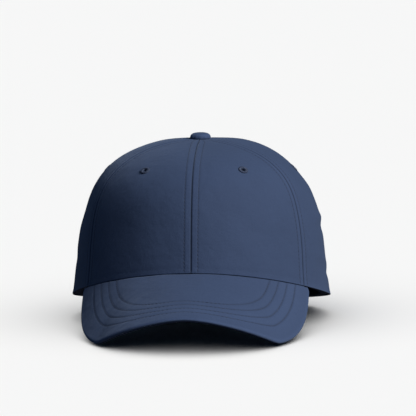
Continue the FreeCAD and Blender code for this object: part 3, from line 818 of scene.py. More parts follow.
def make_panel(place, side):
    """One gore: its piece, its outer face and its size as cut."""
    sign = 1 if side == "left" else -1
    half_gap = np.degrees(0.025 * mm / half_width)
    first, last = panel_ends[place]
    phi, climb, seam, low = panel_grid(first + half_gap, last - half_gap, place == "back")
    phi = phi * sign
    soft = softness(phi, climb)
    flat_points = crown_point(phi, climb, 0)
    folded = flat_points[..., 2] - low
    if place == "back":
        away = arch_distance(flat_points)
        edge = np.minimum(np.where(low > hem_rise, 1, folded), away).clip(0)
        grooves = sum(0.25 * mm * ridge(away, row, 0.45 * mm) for row in arch_stitches)
    else:
        edge = folded.clip(0)
        grooves = 0.12 * mm * ridge(folded, 3.4 * mm, 0.7 * mm)
    rim = edge_round(edge, cloth)
    relief = seam_profile(seam) * smooth(edge, 0.2 * mm, 1.6 * mm) - grooves
    outer = stand(crown_point(phi, climb, 0, soft + relief - rim))
    inner = stand(crown_point(phi, climb, cloth, soft + rim))
    steps = np.linalg.norm(np.diff(outer, axis=0), axis=-1)
    below_top = np.concatenate((np.cumsum(steps[::-1], 0)[::-1], np.zeros((1, steps.shape[1]))))
    centre = sign * (first + last) / 2
    width = (phi - centre) * girth_per_degree(centre) * side_curve(climb)[0]
    uv = np.stack((width, -below_top), -1) * uv_scale
    worn = (ridge(seam, 2.4 * mm, 1.6 * mm) * 0.3 + ridge(edge, 0.3 * mm, 0.7 * mm)).clip(0, 1)
    # Painted shade along the seam line and the needle rows, for the cloth material's colour.
    pinch = ridge(seam, 0, 0.5 * mm) + 0.35 * ridge(seam, stitch_at, 0.45 * mm)
    keep = punch(outer, inner, sign * eyelet_round[place])
    if sign < 0:
        grids = (outer, inner, uv, keep, worn, pinch)
        outer, inner, uv, keep, worn, pinch = (grid[:, ::-1] for grid in grids)
    piece = shell(f"cloth_{place}_{side}", outer, inner, uv, keep, {"worn": worn, "pinch": pinch})
    return piece, outer, (width.max() - width.min(), below_top.max())


panels, panel_outers = {}, {}
for place in ("front", "side", "back"):
    for side in ("left", "right"):
        piece, outer, size = make_panel(place, side)
        finish(piece, crown_cloth)
        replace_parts(piece, f"{place}_{side}_panel")
        panels[place, side], panel_outers[place, side] = piece, outer
        print(piece.name, len(piece.data.polygons), "faces, cut about", [round(s / mm) for s in size], "mm")


# %% [markdown]
# ## The cap's body and the right rear
# When the strap is pulled, the lower right corner of the opening is drawn along with it. The pieces on the
# wearer's right rear are only baked in place here and attached to no body; everything else rides on the
# cap.


def ride_cap(*pieces):
    """Pieces that move with the cap as a whole."""
    for piece in pieces:
        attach(piece, "cap")


def follow_strap(*pieces):
    """Pieces of the right rear: their placement is baked into their points, and no body carries them."""
    for piece in pieces:
        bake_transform(piece)


right_rear = {("side", "right"), ("back", "right")}
for key, piece in panels.items():
    follow_strap(piece) if key in right_rear else ride_cap(piece)

# %% [markdown]
# ## Seam stitching
# The rows follow the panels' own grid columns, which lie at a fixed distance from each seam, so a row can
# never drift off its ridge. Each row starts a little above the hem and ends under the button.


# %% Seam rows
def column_row(place, side, from_start):
    """A stitch row along the grid column at the stitch distance from one of the panel's two seams."""
    outer = panel_outers[place, side]
    count = outer.shape[1]
    column = stitch_column if from_start else count - 1 - stitch_column
    if side == "right":
        column = count - 1 - column
    rows = slice(4, -3)
    return stitch_row(outer[rows, column], grid_normals(outer)[rows, column])


crown_stitches = {}
for place in ("front", "side", "back"):
    for side in ("left", "right"):
        rows = [column_row(place, side, end) for end in (True, False)]
        piece = finish(stitched(f"stitches_{place}_{side}", rows), thread)
        crown_stitches[place, side] = piece
        follow_strap(piece) if (place, side) in right_rear else ride_cap(piece)
print(sum(len(p.data.polygons) for p in crown_stitches.values()) // stitch_faces, "seam stitches")


# %% Opening rows
def arch_path(offset, count=160, foot=0.6 * mm):
    """Points (x, height) along the half-moon, `offset` outside it, from the left foot to the right."""
    half = arch_half + offset
    turn = np.linspace(0, np.pi, count)
    side = np.linspace(foot, arch_side, 12)[:-1]
    x = np.concatenate((np.full(len(side), half), half * np.cos(turn), np.full(len(side), -half)))
    z = np.concatenate((side, arch_side + half * np.sin(turn), side[::-1]))
    return x, z


def crown_at(x, z, depth=0.0, lift=0.0):
    """The crown's point, behind, with this x and height, `depth` below the cloth and then `lift` up."""
    phi, climb = arch_angle(x, z, depth), climb_at(z, depth)
    return stand(crown_point(phi, climb, depth, softness(phi, climb) + lift))


def path_normals(path_of, step=0.4 * mm):
    """Normals of the crown along a path, from points a little further in x and in height."""
    x, z = path_of
    here = crown_at(x, z)
    normal = np.cross(crown_at(x + step, z) - here, crown_at(x, z + step) - here)
    normal /= np.linalg.norm(normal, axis=-1, keepdims=True)
    return normal * np.sign(normal @ np.array([0, 1.0, 0.2]))[:, None]


def arch_row(offset, half):
    """A stitch row along one half of the opening."""
    x, z = arch_path(offset)
    chosen = x >= 0 if half == "left" else x <= 0
    x, z = x[chosen], z[chosen]
    return stitch_row(crown_at(x, z, 0, -0.2 * mm), path_normals((x, z)))


for side in ("left", "right"):
    rows = [arch_row(offset, side) for offset in arch_stitches]
    piece = finish(stitched(f"stitches_opening_{side}", rows), thread)
    follow_strap(piece) if side == "right" else ride_cap(piece)
    print(piece.name, len(piece.data.vertices), "points")

# %% [markdown]
# ## Eyelets
# A sewn eyelet is a ring of satin stitches that wrap the raw edge of a punched hole, outside and inside. It
# is one closed loop of profile carried round the hole, with about forty threads as small radial ridges. A
# CAD ring would be smooth; the ridges are what makes it thread.

# %% Eyelets
eyelet_profile = np.array([
    # distance from the hole's axis, height over the cloth, share of the thread ridges
    (3.60, 0.02, 0.2), (3.56, 0.42, 0.8), (3.20, 0.80, 1), (2.6, 0.96, 1), (2.1, 0.86, 1), (1.7, 0.58, 1),
    (1.45, 0.10, 0.8), (1.40, -0.35, 0.5), (1.42, -0.90, 0.8), (1.7, -1.30, 1), (2.2, -1.50, 1),
    (2.8, -1.46, 1), (3.3, -1.22, 0.8), (3.5, -0.95, 0.2), (2.9, -0.86, 0), (2.2, -0.6, 0), (2.2, -0.1, 0),
    (2.9, -0.02, 0),
])
threads_round, points_per_thread = 38, 6


def make_eyelet(place, side):
    """Point = crown(phi + r cos t / speed, climb + r sin t / speed) + normal * height, ridged by threads."""
    phi = eyelet_round[place] * (1 if side == "left" else -1)
    wall = 0.5 * mm if place == "front" else 0
    _, normal, speeds = surface_frame(phi, eyelet_climb)
    count = threads_round * points_per_thread
    turn = np.linspace(0, 2 * np.pi, count, endpoint=False)[None, :]
    radius, height, ridged = (eyelet_profile[:, k][:, None] for k in range(3))
    radius = radius * mm
    flatter = np.where((height > 0) & (place == "side"), 0.6, 1)
    height = height * mm * flatter - np.where(height < -0.5, wall, 0)
    thread_at = turn[0] * threads_round / (2 * np.pi)
    uneven = np.interp(thread_at, np.arange(threads_round + 1), dice.random(threads_round + 1))
    ripple = np.cos(turn * threads_round) * (0.05 + 0.05 * uneven) * mm * ridged
    ragged = (uneven - 0.5) * 0.16 * mm * (radius > 3.2 * mm)
    wide = radius * (1 + 0.03 * np.sin(turn * 2 + 1)) + ripple * 0.4 + ragged
    at = phi + wide * np.cos(turn) / speeds[0], eyelet_climb + wide * np.sin(turn) / speeds[1]
    base = stand(crown_point(at[0], at[1], 0, softness(*at)))
    lifted = height + np.where(height > -0.4 * mm, ripple, -ripple)
    grid = base + normal * lifted[..., None]
    uv = np.stack(np.broadcast_arrays(turn * 4, radius / mm), -1)
    piece = turned_surface(f"eyelet_{place}_{side}", grid[::-1], uv[::-1], ring=True)
    face_outward(piece)
    finish(piece, eyelet_thread)
    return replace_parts(piece, f"{place}_{side}_eyelet")


for place in ("front", "side", "back"):
    for side in ("left", "right"):
        piece = make_eyelet(place, side)
        follow_strap(piece) if (place, side) in right_rear else ride_cap(piece)
print("eyelets:", threads_round, "threads each")

# %% [markdown]
# ## The button
# Cloth is drawn over a metal dome and tucked in under it. It stands where the six seams meet, tipped
# forward with the crown. The profile is flat on top and steep at its edge, with a dozen faint gathers.

# %% Button
button_radius, button_rise = 7.6 * mm, 3.75 * mm
button_tip = np.arctan(pitch)


def on_top(points):
    """Moves points from the button's own axes to the top of the crown."""
    x, y, z = points[..., 0], points[..., 1], points[..., 2]
    back = y * np.cos(button_tip) - z * np.sin(button_tip) - lean
    up = y * np.sin(button_tip) + z * np.cos(button_tip) + crown_height
    return stand(np.stack((x, back, up), -1))


def button_surface():
    """Follows r^3.4 + z^2.3 = 1 over the dome, then turns in under it; its gathers are cos(13 t)."""
    turn = np.linspace(0, 2 * np.pi, 104, endpoint=False)[None, :]
    over = np.linspace(0, np.pi / 2, 30)[:, None]
    radius = np.sin(over) ** (2 / 3.4)
    height = np.cos(over) ** (2 / 2.3)
    tuck = np.array([(0.985, -0.05), (0.93, -0.085), (0.80, -0.09), (0.6, -0.09), (0.0, -0.09)])[:, :, None]
    radius = np.concatenate((radius, tuck[:, 0])) * button_radius
    height = np.concatenate((height, tuck[:, 1])) * button_rise
    gather = (np.cos(turn * 13 + 0.6 * np.sin(turn * 3)) * 0.10 + 0.06 * np.cos(turn * 5)) * mm
    radius = radius + gather * smooth(radius / button_radius, 0.6, 1)
    z = 0.55 * mm + height + 0 * turn
    return np.stack((radius * np.cos(turn), radius * np.sin(turn), z), -1)


button_grid = button_surface()
button_uv = button_grid[..., :2] * uv_scale
rubbed = ridge(np.linspace(0, 1, len(button_grid)), 0.55, 0.25)
button_worn = np.broadcast_to(rubbed[:, None], button_grid.shape[:2])
button = turned_surface("button_cloth", on_top(button_grid), button_uv, marks={"worn": button_worn})
weld(button)
finish(button, crown_cloth)
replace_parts(button, "button_cover")
ride_cap(button)
print("button", len(button.data.polygons), "faces")

# %% [markdown]
# ## The brim
# In plan the brim's edge is a superellipse from tip to tip. Its height is an arch at the front and rises
# again to the two tips, so the brim touches down at two corners. The surface is ruled from the crown's seam
# out to that edge. Cloth wraps both sides of a stiff board, and four rows of stitching follow the edge.

# %% Brim surface
tip_angle, projection, squareness = 59.0, 65 * mm, 2.4
corner_angle, side_angle, front_lift = 46.0, 48.0, 21.2 * mm
arch_power, side_power, corner_blend, tip_trim = 1.75, 2.2, 2 * mm, 0.985
brim_half, seam_clearance = 1.6 * mm, 0.2 * mm


def brim_seam(share):
    """The sewn edge, just under the crown's lower edge."""
    phi = share * tip_angle
    edge = crown_point(phi, climb_at(hem_height(phi), cloth / 2), cloth / 2)
    return lean_back(edge - np.array([0, 0, brim_half + seam_clearance]))


brim_tip, brim_root = brim_seam(np.array(1.0)), brim_seam(np.array(0.0))


def brim_edge(share):
    """The outer edge: a superellipse in plan; its height is an arch blended into the lift of the tips."""
    turn = np.radians(90 * abs(share))
    radius = (abs(np.cos(turn)) ** squareness + np.sin(turn) ** squareness) ** (-1 / squareness)
    x = np.sign(share) * brim_tip[0] * radius * np.sin(turn)
    y = brim_tip[1] - (brim_tip[1] - brim_root[1] + projection) * radius * np.cos(turn)
    arch = front_lift * (1 - (90 * abs(share) / corner_angle) ** arch_power)
    arch = (arch + np.sqrt(arch**2 + corner_blend**2)) / 2
    side = ((90 * abs(share) - side_angle) / (90 - side_angle)).clip(0)
    return np.stack((x, y, arch + (brim_tip[2] - brim_half) * side**side_power + brim_half), -1)


def brim_middle(share, out):
    """The surface between the seam (out 0) and the edge (out 1)."""
    inner = brim_seam(share)
    return inner + (brim_edge(share) - inner) * out[..., None]


def brim_normal(share, out):
    """The unit normal there, upwards."""
    step = 0.002
    along = brim_middle(share + step, out) - brim_middle(share - step, out)
    outward = brim_middle(share, out) - brim_middle(share, out - step)
    normal = np.cross(outward, along)
    return normal / np.linalg.norm(normal, axis=-1, keepdims=True)


edge_line = brim_edge(np.linspace(-1, 1, 1201))


def edge_distance(points):
    """Shortest distance in plan from each point to the brim's outer edge."""
    flat, line = points.reshape(-1, 3)[:, :2], edge_line[None, ::2, :2]
    nearest = [((part[:, None] - line) ** 2).sum(-1).min(1) for part in np.array_split(flat, 40)]
    return np.sqrt(np.concatenate(nearest)).reshape(points.shape[:-1])


brim_rows = np.array([9.4, 14.6, 19.8, 25.0]) * mm
rim_steps = np.array([0, 0.08, 0.2, 0.4, 0.65, 1.0, 1.4, 1.9, 2.5, 3.2, 4.0]) * mm
shares = np.linspace(-tip_trim, tip_trim, 251)
widths = np.linalg.norm(brim_edge(shares) - brim_seam(shares), axis=-1)
rim = rim_steps[:, None] * np.minimum(1, 0.4 * widths / rim_steps[-1])
inward = np.concatenate((rim, rim[-1] + (widths - rim[-1]) * np.linspace(0, 1, 96)[1:, None]))
brim_out = 1 - inward / widths
brim_share = np.broadcast_to(shares, brim_out.shape)
brim_grid, brim_up = brim_middle(brim_share, brim_out), brim_normal(brim_share, brim_out)
from_edge = edge_distance(brim_grid)
print("brim grid", brim_grid.shape, "widest", round(widths.max() / mm, 1), "mm")


# %% Brim covers
thread_sunk = 0.16 * mm


def into_frame(points):
    """The brim is worked out as the cap stands, so it only needs the shift into the frame."""
    return points + frame_shift


def cover(name, sign):
    """Cloth on one side of the brim: its outer face turns in at the edge, its inner lies on the board."""
    end = ((tip_trim - abs(brim_share)) / 0.02).clip(0, 1)
    close = np.minimum(inward, end * 3 * mm)
    lift = brim_half * (1 - (1 - (close / (2.3 * mm)).clip(0, 1)) ** 2.2).clip(0) ** (1 / 2.2)
    grooves = sum(0.22 * mm * ridge(from_edge, row, 0.42 * mm) for row in brim_rows)
    padding = 0.04 * mm * sum(ridge(from_edge, row + 2.6 * mm, 1.5 * mm) for row in brim_rows)
    wave = 0.12 * mm * np.sin(brim_share * 17 + 0.09 * from_edge / mm) * smooth(from_edge, 8 * mm, 30 * mm)
    lift = lift + (padding - grooves + wave) * smooth(inward, 3 * mm, 5 * mm)
    under = np.minimum(0.025 * mm + 0.875 * mm * np.sin(np.pi / 2 * (close / (2.6 * mm)).clip(0, 1)), lift)
    outer = into_frame(brim_grid + brim_up * (sign * lift)[..., None])
    inner = into_frame(brim_grid + brim_up * (sign * under * 0.98)[..., None])
    uv = brim_grid[..., :2] * np.array([1, 1.05]) * uv_scale
    worn = (ridge(from_edge, 0, 1.3 * mm) + 0.4 * ridge(from_edge, 12 * mm, 9 * mm)).clip(0, 1)
    # Painted shade along the brim's four stitch grooves, for the cloth material's colour.
    pinch = sum(0.5 * ridge(from_edge, row, 0.5 * mm) for row in brim_rows)
    if sign > 0:
        outer, inner, uv, worn, pinch = (grid[::-1] for grid in (outer, inner, uv, worn, pinch))
    piece = shell(name, outer, inner, uv, marks={"worn": worn, "pinch": pinch})
    return finish(piece, brim_cloth)


brim_top = cover("brim_cloth_top", 1)
brim_under = cover("brim_cloth_under", -1)
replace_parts(brim_top, "brim_top_cover")
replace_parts(brim_under, "brim_under_cover")
ride_cap(brim_top, brim_under)
print("brim covers", len(brim_top.data.polygons), "faces each")


# %% Brim stitching
def offset_row(distance, count=700):
    """Places on the brim's surface a fixed distance inside its edge, found by Newton's method."""
    t = np.linspace(-1, 1, count)
    edge = brim_edge(t)
    along = np.gradient(edge[:, :2], axis=0)
    inward_line = np.stack((-along[:, 1], along[:, 0]), -1) / np.linalg.norm(along, axis=1, keepdims=True)
    target = edge[:, :2] + inward_line * distance * np.sign(inward_line[count // 2, 1])
    share, out = t * 0.97, np.full(count, 0.8)
    step = 1e-4
    for _ in range(25):
        here = brim_middle(share, out)[:, :2]
        by_share = (brim_middle(share + step, out)[:, :2] - here) / step
        by_out = (brim_middle(share, out + step)[:, :2] - here) / step
        miss = target - here
        size = by_share[:, 0] * by_out[:, 1] - by_share[:, 1] * by_out[:, 0]
        size = np.where(abs(size) < 1e-9, 1e-9, size)
        more_share = (miss[:, 0] * by_out[:, 1] - miss[:, 1] * by_out[:, 0]) / size
        more_out = (by_share[:, 0] * miss[:, 1] - by_share[:, 1] * miss[:, 0]) / size
        share = (share + more_share.clip(-0.1, 0.1)).clip(-tip_trim, tip_trim)
        out = (out + more_out.clip(-0.2, 0.2)).clip(0, 1)
    here = brim_middle(share, out)
    found = np.linalg.norm(target - here[:, :2], axis=1) < 0.3 * mm
    good = found & (out > 0.03) & (edge_distance(here) > distance - 0.4 * mm)
    return share[good], out[good]


for name, sign in (("stitches_brim_top", 1), ("stitches_brim_under", -1)):
    rows = []
    for distance in brim_rows:
        share, out = offset_row(distance)
        up = brim_normal(share, out) * sign
        line = into_frame(brim_middle(share, out) + up * (brim_half - thread_sunk))
        rows.append(stitch_row(line, up, pitch=2.9 * mm))
    ride_cap(finish(stitched(name, rows), thread))
print("brim rows at", (brim_rows / mm).round(1), "mm from the edge")

# %% [markdown]
# ## Inside the crown
# The inside is as much sewn as the outside: the front panels carry a stiff open weave, each seam is covered
# by a tape with two rows of stitches, and a folded band sits on the head. All of them are layers of the same
# crown formula at their own depths, so they never cut through the cloth.


# %% Layer helper
lined, unlined = cloth + buckram + 2 * cloth_gap, cloth + cloth_gap


def layer(name, phi, climb, depth, thickness, turn_over=False, eyelet=None):
    """A cloth layer over a grid of angles: its edges are rounded by `edge_round` of the distance to them."""
    soft = softness(phi, climb)
    middle = stand(crown_point(phi, climb, depth, soft))
    across = np.linalg.norm(np.diff(middle, axis=1), axis=-1).cumsum(1)
    across = np.concatenate((np.zeros((len(middle), 1)), across), 1)
    up = np.linalg.norm(np.diff(middle, axis=0), axis=-1).cumsum(0)
    up = np.concatenate((np.zeros((1, middle.shape[1])), up))
    edge = np.minimum(np.minimum(across, across[:, -1:] - across), np.minimum(up, up[-1:] - up))
    rim = edge_round(edge, thickness, 0.8 * mm)
    outer = stand(crown_point(phi, climb, depth, soft - rim))
    inner = stand(crown_point(phi, climb, depth + thickness, soft + rim))
    uv = np.stack((across, up), -1) * uv_scale
    worn = ridge(edge, 0.2 * mm, 0.8 * mm)
    keep = np.full(np.subtract(edge.shape, 1), True) if eyelet is None else punch(outer, inner, eyelet)
    if turn_over:
        outer, inner, uv, worn, keep = (grid[:, ::-1] for grid in (outer, inner, uv, worn, keep))
    made = shell(name, outer, inner, uv, keep, {"worn": worn})
    return made, inner, (across[:, -1].max(), up[-1].max())


def close_steps(length, count):
    """Places along a length, close together at both ends."""
    near = np.array([0, 0.15, 0.4, 0.8]) * mm
    middle = np.linspace(near[-1], length - near[-1], count)[1:-1]
    return np.concatenate((near, middle, length - near[::-1]))


def tape_row(line, normal):
    """A row of the tapes' finer stitches, clear of the tape's ends."""
    return stitch_row(line[1:-1], normal[1:-1], pitch=3 * mm, radius=0.2 * mm)


declared = []

# %% Backing of the front panels
backing_margin, backing_foot, backing_top = 1 * mm, 4 * mm, 30 * mm
for side, sign in (("left", 1), ("right", -1)):
    margin = np.degrees(backing_margin / half_width)
    angles = sign * np.linspace(margin, front_seam - margin, 90)
    low = climb_at(hem_height(angles) + backing_foot, unlined)
    climb = low + (climb_beside(backing_top) - low) * np.linspace(0, 1, 120)[:, None]
    phi = np.broadcast_to(angles, climb.shape)
    eyelet_at = sign * eyelet_round["front"]
    piece, _, size = layer(f"backing_{side}", phi, climb, unlined, buckram, sign < 0, eyelet_at)
    finish(piece, backing_cloth)
    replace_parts(piece, f"front_{side}_buckram")
    ride_cap(piece)
    declared.append((piece, size, "laid", f"cloth_front_{side}"))
print("backing", [round(s / mm) for s in size], "mm")

# %% Seam tapes
tape_width, tape_top, tape_end, binding_width = 13 * mm, 14 * mm, 0.4 * mm, 7 * mm
tape_foot = band_height + tape_end
tapes = {
    "front_centre": (0, lined, hem_rise + tape_foot),
    "front_left": (front_seam, lined, tape_foot),
    "front_right": (-front_seam, lined, tape_foot),
    "rear_left": (rear_seam, unlined, tape_foot),
    "rear_right": (-rear_seam, unlined, tape_foot),
    "rear_centre": (180, unlined, arch_side + arch_half + binding_width + tape_end),
}


def make_tape(name, phi, depth, low):
    """Angle = phi +- width / 2 / (distance from the crown's axis), so the tape keeps its width."""
    climb = np.linspace(climb_at(low), climb_beside(tape_top), 90)[:, None]
    here = crown_point(phi, climb, depth)
    sideways = crown_point(90, climb, depth)[..., 1]
    radius = np.hypot(here[..., 0], here[..., 1] - sideways)
    across = close_steps(tape_width, 18) - tape_width / 2
    angles = phi + np.degrees(across / radius)
    climb = np.broadcast_to(climb, angles.shape)
    piece, inner, size = layer(f"tape_{name}", angles, climb, depth, tape)
    inward = -grid_normals(inner)
    rows = [tape_row(inner[:, column], inward[:, column]) for column in (7, -8)]
    threads = finish(stitched(f"stitches_tape_{name}", rows), thread)
    finish(piece, tape_cloth)
    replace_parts(piece, f"{name}_seam_tape")
    declared.append((piece, size, "stretched", None))
    return piece, threads


for name, (phi, depth, low) in tapes.items():
    made = make_tape(name, phi, depth, low)
    follow_strap(*made) if name == "rear_right" else ride_cap(*made)
print("tapes:", len(tapes))

# %% Tape round the opening
binding_foot = 27 * mm


def binding_half(side):
    """Outline point + outward * w, for w from 0 to the tape's width, carried along the half-moon."""
    start = np.arcsin((binding_foot - arch_side) / (arch_half + binding_width))
    turn = np.linspace(start, np.pi / 2, 70)[None, :]
    turn = turn if side == "left" else np.pi - turn[:, ::-1]
    radius = arch_half + 0.2 * mm + close_steps(binding_width, 12)[:, None]
    x, z = radius * np.cos(turn), arch_side + radius * np.sin(turn)
    phi, climb = arch_angle(x, z, unlined), climb_at(z, unlined)
    piece, inner, size = layer(f"opening_tape_{side}", phi, climb, unlined, tape, turn_over=True)
    inward = -grid_normals(inner)
    rows = [tape_row(inner[row], inward[row]) for row in (5, -6)]
    threads = finish(stitched(f"stitches_opening_tape_{side}", rows), thread)
    finish(piece, tape_cloth)
    declared.append((piece, (2 * binding_width, size[0]), "folded", None))
    return piece, threads


binding = {side: binding_half(side) for side in ("left", "right")}
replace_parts(binding["left"][0], "back_arch_binding")
ride_cap(*binding["left"])
follow_strap(*binding["right"])
print("opening tape", [round(s / mm) for s in declared[-1][1]], "mm")

# %% [markdown]
# ## Sweatband
# One strip of soft twill, folded out at its foot to the crown's edge and turned over at its top. It is a
# hook-shaped profile, carried round the crown in two halves; the right half, like the right rear, has no
# body.
# Below its front lies the brim's seam allowance, a padded roll that closes the slot between crown and brim.

# %% Sweatband
band_end = arch_angle(arch_half, 0) - np.degrees(2 * mm / half_width)


def band_profile(count=34):
    """(depth, height) of the band's middle: out along the hem, round a small bend, then up."""
    bend = np.linspace(-np.pi / 2, 0, 10)
    foot = np.stack((np.linspace(1.0, 3.0, 6), np.full(6, 1.0)), -1)
    corner = np.stack((3.0 + 1.15 * np.cos(bend), 2.15 + 1.15 * np.sin(bend)), -1)
    wall = np.stack((np.full(count, 4.15), np.linspace(2.15, 29.2, count)), -1)
    return np.concatenate((foot, corner[1:-1], wall)) * mm


def sweatband(side, sign):
    """Point = crown(phi, climb at (height + hem arch), depth), offset by half the thickness each way."""
    profile = band_profile()
    way = np.gradient(profile, axis=0)
    way /= np.linalg.norm(way, axis=1, keepdims=True)
    off = np.stack((way[:, 1], -way[:, 0]), -1)
    length = np.concatenate(([0], np.cumsum(np.linalg.norm(np.diff(profile, axis=0), axis=1))))
    edge_up = np.minimum(length, length[-1] - length)
    near_end = band_end - np.array([0.9, 0.6, 0.35, 0.15, 0.0])
    phi = sign * np.concatenate((np.linspace(0, band_end - 1.2, 190), near_end))
    edge = np.minimum(edge_up[:, None], np.abs(sign * band_end - phi)[None, :] * 1.6 * mm)
    half = band_thickness / 2 - edge_round(edge, band_thickness, 1.0 * mm)
    top_row, foot_row = length[-1] - 2.6 * mm, 9.5 * mm
    row_mark = 0.18 * mm * ridge(length[:, None], top_row, 0.5 * mm)
    row_mark = row_mark + 0.15 * mm * ridge(length[:, None], foot_row, 0.5 * mm)
    arch = hem_height(phi)[None, :]
    give = 0.25 * mm * np.sin(phi * 0.11)[None, :] * smooth(profile[:, 1:], 8 * mm, 26 * mm)

    def face(way_off):
        depth = profile[:, :1] + off[:, :1] * way_off + give
        rise = profile[:, 1:] + off[:, 1:] * way_off
        height = rise + arch * (1 - 0.5 * smooth(rise, 2 * mm, 30 * mm))
        return stand(crown_point(phi[None, :], climb_at(height, depth), depth))

    inner, outer = face(half - row_mark), face(-half)
    around = np.linalg.norm(np.diff(inner[20], axis=0), axis=-1).cumsum()
    uv = np.stack(np.broadcast_arrays(np.concatenate(([0], around)), length[:, None]), -1) * uv_scale
    worn = 0.8 * ridge(length[:, None], length[-1], 1.5 * mm) + 0 * phi[None, :]
    if sign > 0:
        inner, outer, uv, worn = (grid[:, ::-1] for grid in (inner, outer, uv, worn))
    piece = shell(f"sweatband_{side}", inner, outer, uv, marks={"worn": worn})
    normal = grid_normals(inner)
    rows = []
    for row_at in (top_row, foot_row):
        row = int(np.argmin(abs(length - row_at)))
        rows.append(stitch_row(inner[row, 1:-1], normal[row, 1:-1], pitch=3.2 * mm))
    threads = finish(stitched(f"stitches_sweatband_{side}", rows), thread)
    finish(piece, band_cloth)
    return piece, threads, (around[-1], length[-1])


for side, sign in (("left", 1), ("right", -1)):
    piece, threads, size = sweatband(side, sign)
    declared.append((piece, size, "folded", None))
    if side == "left":
        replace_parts(piece, "sweatband")
        ride_cap(piece, threads)
    else:
        follow_strap(piece, threads)
print("sweatband halves", [round(s / mm) for s in size], "mm")


# %% Brim allowance
cm_per_degree = 0.17


def brim_allowance():
    """A folded edge of oblong section, (w cos^0.5, h sin^0.5), carried round inside the crown's hem."""
    turn = np.linspace(0, 2 * np.pi, 28, endpoint=False)
    ends = np.array([0, 0.05, 0.15, 0.35])
    phi = np.concatenate((-57 + ends, np.linspace(-56.5, 56.5, 150), 57 - ends[::-1]))[:, None]
    full = np.sqrt((1 - ((abs(phi) - 56.3).clip(0) / 0.7) ** 2).clip(0.0004))
    squared = [np.sign(f(turn)) * np.sqrt(abs(f(turn))) for f in (np.cos, np.sin)]
    depth = 1.6 * mm + 0.75 * mm * squared[0] * full
    rise = -1.35 * mm + 1.9 * mm * squared[1] * full
    points = crown_point(phi, climb_at(hem_height(phi), depth), depth)
    points = stand(points + rise[..., None] * straight_up)
    uv = np.stack(np.broadcast_arrays(phi * cm_per_degree, turn * 0.1), -1)
    return weld(turned_surface("brim_allowance", capped(points), repeat_ends(uv)))


allowance = finish(brim_allowance(), brim_cloth)
ride_cap(allowance)
print("brim allowance", len(allowance.data.polygons), "faces")

# %% Foam strip
foam_end, foam_thickness = 50.0, 1.6 * mm


def foam_strip():
    """A strip behind the forehead, with rounded edges."""
    depth = band_depth - 0.2 * mm - foam_thickness
    ends = np.array([0, 0.1, 0.3, 0.7])
    middle = np.linspace(1 - foam_end, foam_end - 1, 90)
    phi = np.concatenate((ends - foam_end, middle, foam_end - ends[::-1]))
    foot, head = [0, 0.008, 0.025, 0.05], [0.95, 0.975, 0.992, 1]
    share = np.concatenate((foot, np.linspace(0.08, 0.92, 14), head))[:, None]
    low = hem_height(phi) + 5 * mm
    high = hem_height(phi) * 0.5 + 25 * mm
    height = low + (high - low) * share
    edge = np.minimum(np.minimum(share, 1 - share) * 20 * mm, (foam_end - abs(phi)) * 1.8 * mm)
    rim = edge_round(edge, foam_thickness, 1.2 * mm)
    outer = stand(crown_point(phi, climb_at(height, depth), depth, -rim))
    back = depth + foam_thickness
    inner = stand(crown_point(phi, climb_at(height, back), back, rim))
    uv = np.stack(np.broadcast_arrays(phi * cm_per_degree, height * uv_scale), -1)
    return shell("foam_strip", outer, inner, uv)


foam_paint, tree, surface = new_material("open_cell_foam")
where = add(tree, "ShaderNodeTexCoord").outputs["Object"]
cells = add(tree, "ShaderNodeTexVoronoi", {"Vector": where, "Scale": 1600.0}).outputs["Distance"]
tone = ramp(tree, cells, (0, (0.55, 0.54, 0.50)), (1, (0.86, 0.85, 0.80)))
tree.links.new(tone, surface.inputs["Base Color"])
surface.inputs["Roughness"].default_value = 0.95
tree.links.new(bumped(tree, cells, 0.6, 0.2 * mm).outputs[0], surface.inputs["Normal"])
foam = finish(foam_strip(), foam_paint)
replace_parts(foam, "sweatband_foam")
ride_cap(foam)
print("foam strip", len(foam.data.polygons), "faces")

# %% [markdown]
# ## Strap, tab and clasp
# The strap is a folded strip of the cap's twill, sewn behind the right back panel. It passes between the
# clasp's lever and its back plate and slides into a pocket behind the left panel. The clasp hangs on a cloth
# tab. The metal keeps its CAD shape; the two strips get a rounded section carried along an arc.

# %% Strap
strap_width, strap_thickness, strap_bottom = 18 * mm, 1.0 * mm, 5 * mm
strap_from, strap_to, strap_level = 128.0, 217.0, strap_bottom + strap_width / 2
pocket_radius = (half_width - cloth) * side_reach(strap_bottom + strap_width, cloth)
tab_outer = pocket_radius - 0.1 * mm
tab_inner = tab_outer - 0.9 * mm
strap_outer = tab_inner - 0.3 * mm
strap_mid = strap_outer - strap_thickness / 2


def carried(name, path, outward, up, profile):
    """A closed section of (out, up) points carried along a path, with its ends drawn in and closed."""
    grid = path[:, None] + outward[:, None] * profile[None, :, :1] + up[:, None] * profile[None, :, 1:]
    length = np.concatenate(([0], np.cumsum(np.linalg.norm(np.diff(path, axis=0), axis=1))))
    round_ = np.concatenate(([0], np.cumsum(np.linalg.norm(np.diff(profile, axis=0), axis=1))))
    uv = np.stack(np.broadcast_arrays(length[:, None], round_[None, :]), -1) * uv_scale
    for end in (0, -1):
        grid[end] = grid[end].mean(0) + (grid[end] - grid[end].mean(0)) * 0.02
    height = abs(profile[:, 1])
    worn = np.broadcast_to(ridge(height, height.max(), 0.5 * mm), grid.shape[:2])
    return weld(turned_surface(name, capped(grid), repeat_ends(uv), marks={"worn": repeat_ends(worn)}))


def strip_section(width, thickness, rows=()):
    """A flat strip's section: long faces with a small groove at each stitch row, and half-round edges."""
    half = width / 2 - thickness / 2
    face = np.linspace(-half, half, 61)
    groove = sum((thread_sunk * ridge(face, row, 0.4 * mm) for row in rows), 0 * face)
    turn = np.linspace(0, np.pi, 9)[1:-1]
    front = np.stack((thickness / 2 - groove, face), -1)
    top = np.stack((thickness / 2 * np.cos(turn), half + thickness / 2 * np.sin(turn)), -1)
    back = np.stack((groove[::-1] - thickness / 2, face[::-1]), -1)
    return np.concatenate((front, top, back, -top))


